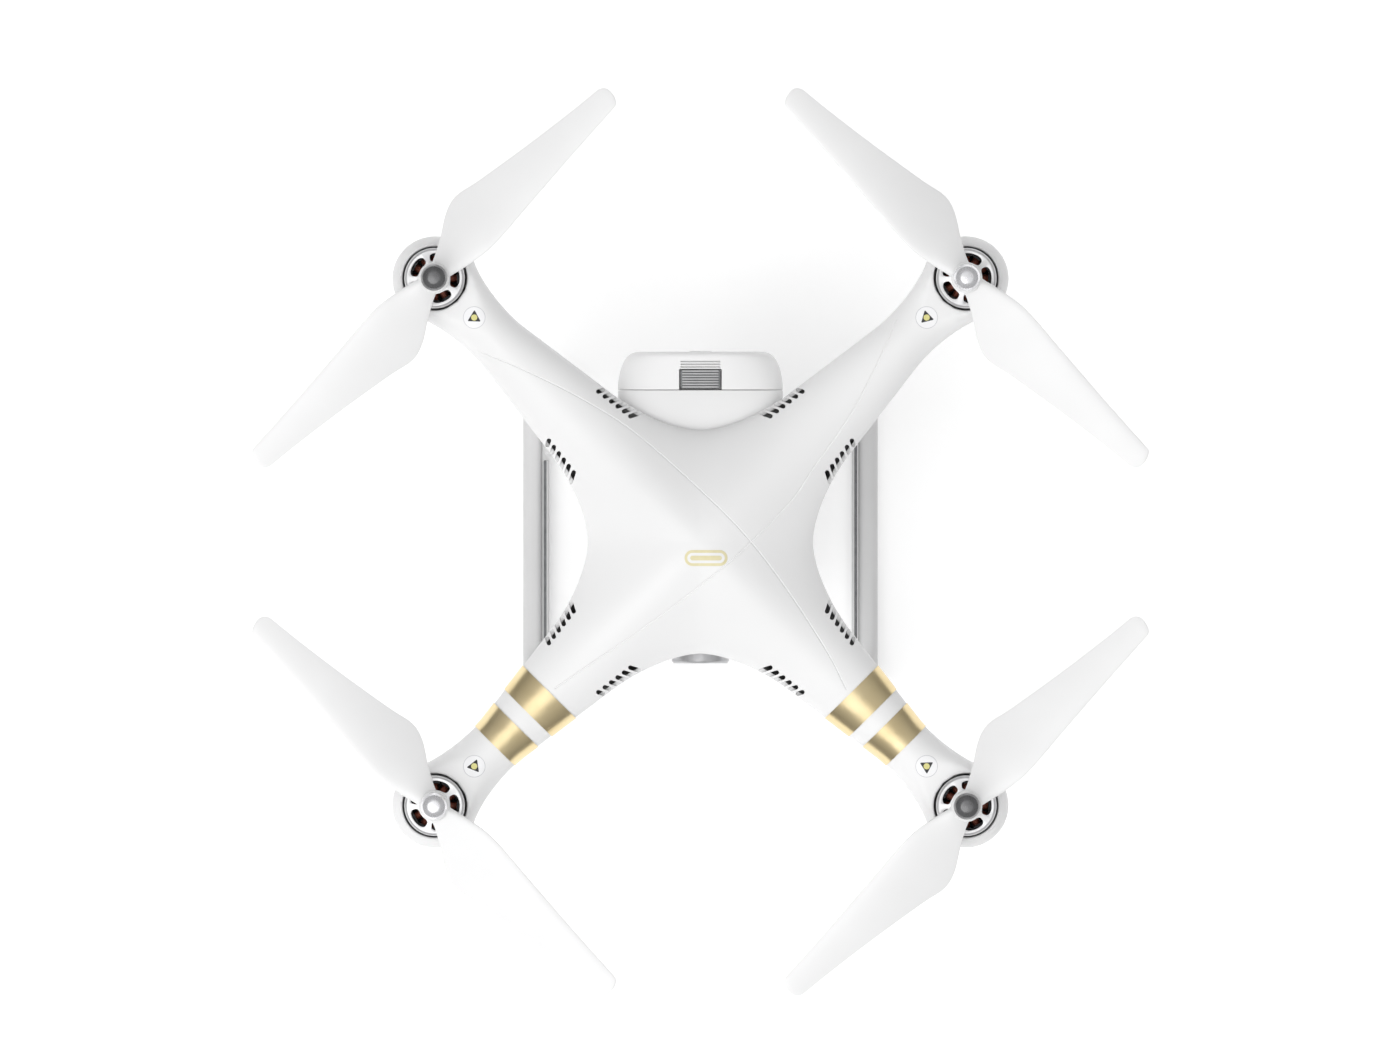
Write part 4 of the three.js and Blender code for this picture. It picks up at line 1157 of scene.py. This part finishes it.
def motor_pieces():
    """The four motors and propellers. Equal pieces share one mesh."""
    meshes = {}

    def place(shape, make, finish, name, node, at, stands_for=True, degrees=0):
        if shape not in meshes:
            pattern = dress(make(), finish, 32)
            meshes[shape] = pattern.data
            bpy.data.objects.remove(pattern)
        made = bpy.data.objects.new(name, meshes[shape])
        bpy.context.scene.collection.objects.link(made)
        made.location = Vector(at) * MM
        made.rotation_euler.z = math.radians(degrees)
        attach(made, node, stands_for)

    for name, (sx, sy) in QUADRANTS.items():
        at = (sx * MOTOR_X, sy * MOTOR_Y, 0)
        hub = (at[0], at[1], (HUB_LOW + HUB_HIGH) / 2)
        stator, rotor, cap = f"motor_stator_{name}", f"rotor_bell_{name}", f"prop_nut_{name}"
        turns = sx * sy  # 1 spins anticlockwise seen from above
        cap_finish = "nut_silver" if turns > 0 else "nut_dark"
        place("core", lambda: raw("core", core()), "core_steel", f"motor_core_{name}", stator, at)
        place("coils", lambda: raw("coils", windings()), "copper", f"motor_windings_{name}", stator, at,
              stands_for=False)
        place("bell", bell, "bell_metal", f"motor_bell_{name}", rotor, at)
        place("bars", lambda: raw("bars", magnets()), "core_steel", f"motor_magnets_{name}", rotor, at,
              stands_for=False)
        place(cap_finish, lambda: raw("cap", nut()), cap_finish, f"nose_nut_{name}", cap, at)
        place(turns, lambda: propeller("blades", turns), "propeller_plastic", f"rotor_blades_{name}",
              f"propeller_{name}", hub, degrees=-turns * BLADE_ANGLE)


motor_pieces()


# ---------------------------------------------------------------- landing gear
SKID_X = 80.2
SKID_HALF = 76
GEAR_THICK = 9
SKID_HEIGHT = 11
LEG_HALF = 8.5
SHADE_STRIP_WIDTH = 1.4  # painted shade: a dark strip along each antenna cover, on its skid side, standing in for the shaded gap there
LEG_SCREWS = [(x, y) for x in (6.2, -6.2) for y in (8, -8)]


def gear_form(side):
    """A U seen from the side, leaning outward towards the ground."""
    top_x, top_y, top_z = LEG_TOP
    outline = rounded([
        (SKID_HALF, 0, 19), (top_y + LEG_HALF, top_z), (top_y - LEG_HALF, top_z),
        (SKID_HALF - 11, SKID_HEIGHT, 15), (11 - SKID_HALF, SKID_HEIGHT, 15),
        (LEG_HALF - top_y, top_z), (-top_y - LEG_HALF, top_z), (-SKID_HALF, 0, 19)], steps=12)
    form = slab(even(outline, 6), -GEAR_THICK / 2, GEAR_THICK / 2, 3.6, 7).moved(SIDEWAYS)
    lean = (SKID_X - top_x) / top_z
    form.points = [p + Vector((side * (SKID_X - lean * p.z), 0, 0)) for p in form.points]
    return form


for side_name, side in (("left", -1), ("right", 1)):
    node = f"landing_gear_{side_name}"
    gear = raw(f"landing_leg_{side_name}", gear_form(side))
    flange = slab(rectangle(17, 21, 5), LEG_TOP.z - 4, LEG_TOP.z, 0.8)
    flanges = [flange.at(side * LEG_TOP.x, end * LEG_TOP.y, 0) for end in (-1, 1)]
    carve(gear, joined(flanges), "UNION")
    piece(gear, node, "satin_white", smooth=36)
    screws = [SCREW.turned(180, "X").at(side * LEG_TOP.x + dx, end * LEG_TOP.y + dy, LEG_TOP.z - 4.3)
              for end in (-1, 1) for dx, dy in LEG_SCREWS]
    detail(f"leg_screws_{side_name}", joined(screws), node, "screw_steel")
    node = f"antenna_cover_{side_name}"
    low, high, size, centre = spread(node)
    cover = lengthways(rectangle(size.x, size.z, 1.1), low.y, high.y, centre.x, centre.z, 0.9)
    piece((f"antenna_shroud_{side_name}", cover), node, "satin_white")
    # painted shade: a dark strip laid where the gap beside the skid is in shade
    shade_strip = lengthways(rectangle(SHADE_STRIP_WIDTH, 1.2, 0.3), low.y + 0.4, high.y - 0.4,
                      centre.x + side * (size.x - SHADE_STRIP_WIDTH) / 2, high.z - 0.45, 0.3)
    detail(f"antenna_shade_strip_{side_name}", shade_strip, node, "damper_rubber")

low, high, size, centre = spread("compass")
compass = lengthways(rectangle(size.x, size.z, 1.8), low.y, high.y, centre.x, centre.z, 1.2)
piece(("compass_case", compass), "compass", "satin_white")


# ---------------------------------------------------------------- battery
CAP_LOW, CAP_HIGH = span("battery_cap")
LATCH_LOW, LATCH_HIGH = span("battery_latch_top")
BUTTON_LOW = span("battery_button")[0]
BUTTON = middle("battery_button")
RIBS = 7  # on each latch
RIB_INSET = 0.65  # from the latch's edge to the first rib's middle
LATCH_POCKET, LATCH_GAP = 6.2, 0.65  # the pocket's depth, and the room beside the latch in it
RECESS_LINES = 3  # grooves behind each latch
REAR_EDGE = 2.6  # rounding between the cap's rear face and its top
LIGHTS_RADIUS = 11  # the four lights stand on an arc over the power key
LIGHT_ANGLES = np.radians((40, 73, 106, 139))
LIGHT_PLACES = [(LIGHTS_RADIUS * math.cos(a), CAP_HIGH.y, BUTTON.z + LIGHTS_RADIUS * math.sin(a))
                for a in LIGHT_ANGLES]


def cap_body():
    """The cap narrows in plan towards a flat rear face; its sections have soft corners."""
    half = COLLAR_WIDTH / 2
    front, rear = CAP_LOW.y, CAP_HIGH.y
    side = bezier((half, front), (half, front + 8), (half - 2.4, rear), (half - 9.2, rear), 40)
    rows = []
    for width, y in side:
        unit = soft_rectangle(2, 2, SOFT_POWER - 0.6 * (y - front) / (rear - front))
        to_rear = min(1, (rear - y) / REAR_EDGE)
        drop_by = REAR_EDGE * (1 - math.sqrt(max(0, 1 - (1 - to_rear) ** 2)))
        height = COLLAR_HEIGHT / 2 - drop_by
        rows.append([(u * width, y, COLLAR_Z + v * height) for u, v in unit])
    return sheet(rows, wrap=True, caps=True)


def battery_cap():
    """The cap with its latch pockets, the well of the power key and the holes of the four lights."""
    made = raw("battery_end_cap", cap_body())
    width = LATCH_HIGH.x - LATCH_LOW.x + 2 * LATCH_GAP
    rear = LATCH_HIGH.y + 0.4
    pocket = box(width, rear - CAP_LOW.y + 2, 2 * LATCH_POCKET, 0.6, 0.2)
    line = lengthways(rectangle(0.7, 3.6, 0.3), -9.3, 9.3, 0, 0, 0.2).turned(90, "Z")
    for level in (COLLAR_HIGH, COLLAR_LOW):
        carve(made, pocket.at(0, (rear + CAP_LOW.y - 2) / 2, level))
        for groove in range(RECESS_LINES):
            carve(made, line.at(0, rear + 0.9 + 1.25 * groove, level))
    well = drum(6.4, -4.2, 2, 0.2, 64).turned(-90, "X").at(0, CAP_HIGH.y, BUTTON.z)
    carve(made, well)
    for place in LIGHT_PLACES:
        carve(made, drum(0.9, -0.5, 1, 0.1, 20).turned(-90, "X").at(*place))
    return soften(made, 0.22, 2, 55)


piece(battery_cap(), "battery_cap", "shell_white", smooth=35)

RIB_SECTION = rounded([(-0.45, -0.7), (0.45, -0.7), (0.3, 0.5, 0.15), (-0.3, 0.5, 0.15)], steps=3)
for node, up in (("battery_latch_top", 1), ("battery_latch_bottom", -1)):
    low, high, size, centre = spread(node)
    outer = high.z if up > 0 else low.z
    plate = box(size.x, size.y, 2.9, 0.8, 0.3).at(0, centre.y, outer - up * 2.4)
    piece((node + "_pad", plate), node, "damper_rubber")
    pitch = (size.y - 2 * RIB_INSET) / (RIBS - 1)
    rib = lengthways(RIB_SECTION, 0.8 - size.x / 2, size.x / 2 - 0.8, 0, 0, 0.2, 2).turned(90, "Z")
    rib = rib.moved(Matrix.Scale(up, 4, (0, 0, 1)))
    ribs = [rib.at(0, low.y + RIB_INSET + k * pitch, outer - up * 0.5) for k in range(RIBS)]
    # the ribs' grey is painted shade of the latch's pocket
    detail(node + "_ribs", joined(ribs), node, "latch_painted_shade")

button = turnery([(0, 0), (6, 0, 0.2), (6, 2.9, 0.5), (4.6, 3.4, 0.5), (3.9, 3.05, 1), (0, 2.95)], 64, 4)
button = button.turned(-90, "X").at(0, BUTTON_LOW.y, BUTTON.z)
piece(("battery_power_key", button), "battery_button", "satin_white")
for number, place in enumerate(LIGHT_PLACES, 1):
    dot = drum(0.75, -0.4, 0.05, 0.15, 20).turned(-90, "X")
    detail(f"battery_light_{number}", dot.at(*place), "battery_cap", "light_lens")


CONTACTS, CONTACT_PITCH = 7, 5


def battery_case():
    """The pack, with a socket for its contacts and long grooves that guide it into the bay."""
    low, high, size, centre = spread("battery_case")
    outline = rectangle(size.x, size.z, BAY_CORNER - 0.6, 8)
    made = raw("battery_pack", lengthways(outline, low.y, high.y, 0, centre.z, 1.2))
    socket = Vector((0, low.y, centre.z - 4))
    carve(made, box(36, 9, 9, 1.5, 0.3).at(*socket))
    grooves = [box(1.6, 96, 1.2, 0.5, 0.2).at(x, centre.y - 4, level)
               for x in (-22, 0, 22) for level in (low.z, high.z)]
    piece(soften(carve(made, joined(grooves)), 0.25, 2, 55), "battery_case", "satin_white")
    start = -CONTACT_PITCH * (CONTACTS - 1) / 2
    blades = [box(0.8, 4, 6.5, 0.2, 0.1).at(start + k * CONTACT_PITCH, socket.y + 2.2, socket.z)
              for k in range(CONTACTS)]
    detail("battery_contacts", joined(blades), "battery_case", "copper")


battery_case()


# ---------------------------------------------------------------- under the belly
def vision_pieces():
    """A dark housing with two sonar cells and a camera between them, looking down."""
    node = "vision_module"
    _, high, size, centre = spread(node)
    face = high.z - 4.4
    housing = slab(rectangle(size.x, size.y, 6), face, high.z, 1.0).at(centre.x, centre.y, 0)
    piece(("vision_housing", housing), node, "black_plastic")
    rings, domes = [], []
    for x, radius, depth in ((-14, 6.5, 1.6), (14, 6.5, 1.6), (0, 4, 1.0)):
        inner, outer_face = radius - 1.4, face - depth
        ring = turnery([(inner, face + 1), (inner, outer_face, 0.2), (radius - 0.4, outer_face, 0.3),
                        (radius, outer_face + 0.5, 0.2), (radius, face + 1), (inner, face + 1)], 48, 3)
        rings.append(ring.at(centre.x + x, centre.y, 0))
        bulge = [(inner * math.cos(a), face + 0.2 - depth * 0.8 * math.sin(a))
                 for a in np.linspace(0, math.pi / 2, 8)]
        profile = [(0, face + 0.8), (inner, face + 0.8)] + bulge[:-1] + [(0, bulge[-1][1])]
        domes.append(lathe(profile, 40).at(centre.x + x, centre.y, 0))
    detail("vision_rings", joined(rings), node, "camera_metal")
    detail("vision_lenses", joined(domes), node, "lens_glass")


vision_pieces()

low, high = span("link_button")
link = turnery([(0, low.z), (2.3, low.z, 0.5), (2.3, high.z - 0.8, 0.1), (3.6, high.z - 0.8, 0.1),
                (3.6, high.z, 0.2), (0, high.z)], 40)
piece(("link_key", link.at(BUTTON_PLACE.x, BUTTON_PLACE.y, 0)), "link_button", "satin_white")


def flat_plate(node, name, slot, radius, holes, screws):
    """A plate of the node's size with rounded corners, cut-outs and screws on its underside."""
    low, high, size, centre = spread(node)
    outline = rectangle(size.x, size.y, radius)
    made = raw(name, slab(outline, low.z, high.z, 0.5).at(centre.x, centre.y, 0))
    for hole in holes:
        carve(made, slab(hole, low.z - 1, high.z + 1, 0.1, 1).at(centre.x, centre.y, 0))
    piece(made, node, slot)
    heads = [SCREW.turned(180, "X").at(centre.x + x, centre.y + y, low.z - 0.3) for x, y in screws]
    detail(f"{name}_screws", joined(heads), node, "screw_steel")


side_slots = [[(x + s * 24, y) for x, y in rectangle(5, 8, 2.4)] for s in (-1, 1)]
flat_plate("gimbal_plate", "gimbal_mount", "satin_white", 5, [rectangle(22, 12, 4), *side_slots],
           [(x, y) for x in (-28, 28) for y in (-9, 9)])
side_holes = [circle(2.2, 24, side * 24, 1.5) for side in (-1, 1)]
flat_plate("gimbal_base", "gimbal_tray", "gimbal_metal", 6, side_holes,
           [(x, y) for x in (-20, 20) for y in (-15, 15)])

for end in ("front", "rear"):
    for side_name in ("left", "right"):
        node = f"damper_{end}_{side_name}"
        low, high, _, centre = spread(node)
        ball = turnery([
            (0, low.z), (3.2, low.z, 0.4), (2.4, low.z + 1.2, 0.5), (4.6, centre.z - 1.4, 1.6),
            (4.6, centre.z + 1.4, 1.6), (2.4, high.z - 1.2, 0.5), (3.2, high.z, 0.4), (0, high.z)])
        piece((f"rubber_damper_{end}_{side_name}", ball.at(centre.x, centre.y, 0)), node, "damper_rubber")


def motor_can(length, radius):
    """A gimbal motor on the Z axis from 0: two caps with a fine gap between."""
    gap = length * 0.55
    return turnery([
        (0, 0), (radius - 0.2, 0, 1.1), (radius, 1.2, 0.3),
        *groove_corners(radius, gap, gap + 0.6, 0.5, 0.1, 0.15),
        (radius, length - 1.2, 0.3), (radius - 0.2, length, 1.1),
        (4, length, 0.2), (3.6, length - 0.5, 0.2), (0, length - 0.5)], 72, 4)


_, yaw_high, yaw_size, yaw_at = spread("yaw_motor")
yaw = motor_can(yaw_size.z, yaw_size.x / 2).turned(180, "X").at(yaw_at.x, yaw_at.y, yaw_high.z)
piece(("yaw_motor_can", yaw), "yaw_motor", "gimbal_metal")

YAW_ARM_WIDTH, YAW_ARM_THICK, HANGER_THICK = 14, 3, 4
ROLL_ARM_THICK, CROSS_THICK = 2.8, 3.4


def yaw_arm():
    """A disc under the yaw motor, a bar to the rear and a hanger down to the roll motor."""
    low, high = span("gimbal_yaw_arm")
    disc = drum(11, high.z - YAW_ARM_THICK, high.z, 0.6, 64).at(0, yaw_at.y, 0)
    bar = slab(rectangle(YAW_ARM_WIDTH, high.y - yaw_at.y, 3), high.z - YAW_ARM_THICK, high.z, 0.6)
    bar = bar.at(0, (high.y + yaw_at.y) / 2, 0)
    hanger = slab(rectangle(YAW_ARM_WIDTH, high.z - low.z - 1, 4), -HANGER_THICK / 2, HANGER_THICK / 2, 0.8)
    hanger = hanger.moved(UPRIGHT).at(0, high.y - HANGER_THICK / 2, (high.z + low.z - 1) / 2)
    made = raw("yaw_bracket", disc)
    carve(made, bar, "UNION")
    return carve(made, hanger, "UNION")


piece(yaw_arm(), "gimbal_yaw_arm", "gimbal_metal")

_, roll_high, roll_size, roll_at = spread("roll_motor")
roll = motor_can(roll_size.y, roll_size.x / 2).turned(90, "X").at(roll_at.x, roll_high.y, roll_at.z)
piece(("roll_motor_can", roll), "roll_motor", "gimbal_metal")


def roll_arm():
    """A disc on the roll motor, a bar across, and a bar forward to the pitch motor's disc."""
    low, high = span("gimbal_roll_arm")
    axis_z, axis_y = roll_at.z, middle("pitch_motor").y
    inner_x = high.x - ROLL_ARM_THICK
    disc = drum(9, 0, CROSS_THICK, 0.6, 56).turned(90, "X").at(0, high.y, axis_z)
    across = slab(rectangle(high.x + 4, 8, 1.5), 0, CROSS_THICK, 0.6).moved(UPRIGHT)
    across = across.at((high.x - 4) / 2, high.y, axis_z)
    along = slab(rectangle(high.y - low.y - 1, 9, 3), 0, ROLL_ARM_THICK, 0.6).moved(SIDEWAYS)
    along = along.at(inner_x, (high.y + low.y) / 2, axis_z)
    end = drum(10, 0, ROLL_ARM_THICK, 0.6, 56).turned(90, "Y").at(inner_x, axis_y, axis_z)
    made = raw("roll_bracket", disc)
    for form in (across, along, end):
        carve(made, form, "UNION")
    return made


piece(roll_arm(), "gimbal_roll_arm", "gimbal_metal")

pitch_low, _, pitch_size, pitch_at = spread("pitch_motor")
pitch = motor_can(pitch_size.x, pitch_size.y / 2).turned(90, "Y").at(pitch_low.x, pitch_at.y, pitch_at.z)
piece(("pitch_motor_can", pitch), "pitch_motor", "gimbal_metal")


BARREL_GROOVES, GROOVES_START, GROOVE_PITCH = 4, 3.2, 1.4  # round the lens barrel, from its back
MOUTH_RADIUS, GLASS_RADIUS = 10, 9.7


def camera_pieces():
    """The camera's ribbed body, its barrel and the front glass. Lathed forms are turned to face -Y."""
    low, high, size, centre = spread("camera_housing")
    outline = rectangle(size.y, size.z, 7, 8)
    body = slab(outline, low.x, high.x, 1.2, 4).moved(SIDEWAYS).at(0, centre.y, centre.z)
    made = raw("camera_body", body)
    for z in (-6, 0, 6):
        carve(made, box(26, 2, 0.9, 0.3, 0.1).at(0, high.y, centre.z + z))
    piece(made, "camera_housing", "camera_metal")
    front, back = span("lens_barrel")
    length, radius = back.y - front.y, (back.x - front.x) / 2
    grooves = []
    for k in range(BARREL_GROOVES):
        start = GROOVES_START + k * GROOVE_PITCH
        grooves += groove_corners(radius, start, start + 1, 0.45, 0.25)
    barrel = turnery([
        (0, 0), (radius - 2, 0, 0.3), (radius, 1.8, 0.6), *grooves, (radius, length - 0.9, 0.5),
        (radius - 0.9, length, 0.4), (MOUTH_RADIUS + 0.3, length, 0.2), (MOUTH_RADIUS, length - 0.5, 0.2),
        (MOUTH_RADIUS, length - 3, 0.2), (0, length - 3)], 96, 3)
    place = ((front.x + back.x) / 2, back.y, (front.z + back.z) / 2)
    piece(("lens_hood", barrel.turned(90, "X").at(*place)), "lens_barrel", "camera_metal")
    glass_front, glass_back = [back.y - corner.y for corner in span("lens_glass")]
    rim = glass_back + 0.7
    dome = [(GLASS_RADIUS * math.sin(a), rim + (glass_front - rim) * math.cos(a))
            for a in np.linspace(math.pi / 2, 0, 14)]
    profile = [(0, glass_back), (GLASS_RADIUS, glass_back)] + dome[:-1] + [(0, glass_front)]
    piece(("lens_front_glass", lathe(profile, 72).turned(90, "X").at(*place)), "lens_glass", "lens_glass")


camera_pieces()

# ---------------------------------------------------------------- sealed inner pieces keep their CAD shape
KEPT = {"main_board": "circuit_board", "flight_controller": "circuit_board", "gps_module": "satin_white"}
KEPT.update({f"motor_lead_{name}": "lead_sleeve" for name in QUADRANTS})
for node, slot in KEPT.items():
    NODES[node].data.materials.clear()
    NODES[node].data.materials.append(FINISHES[slot])
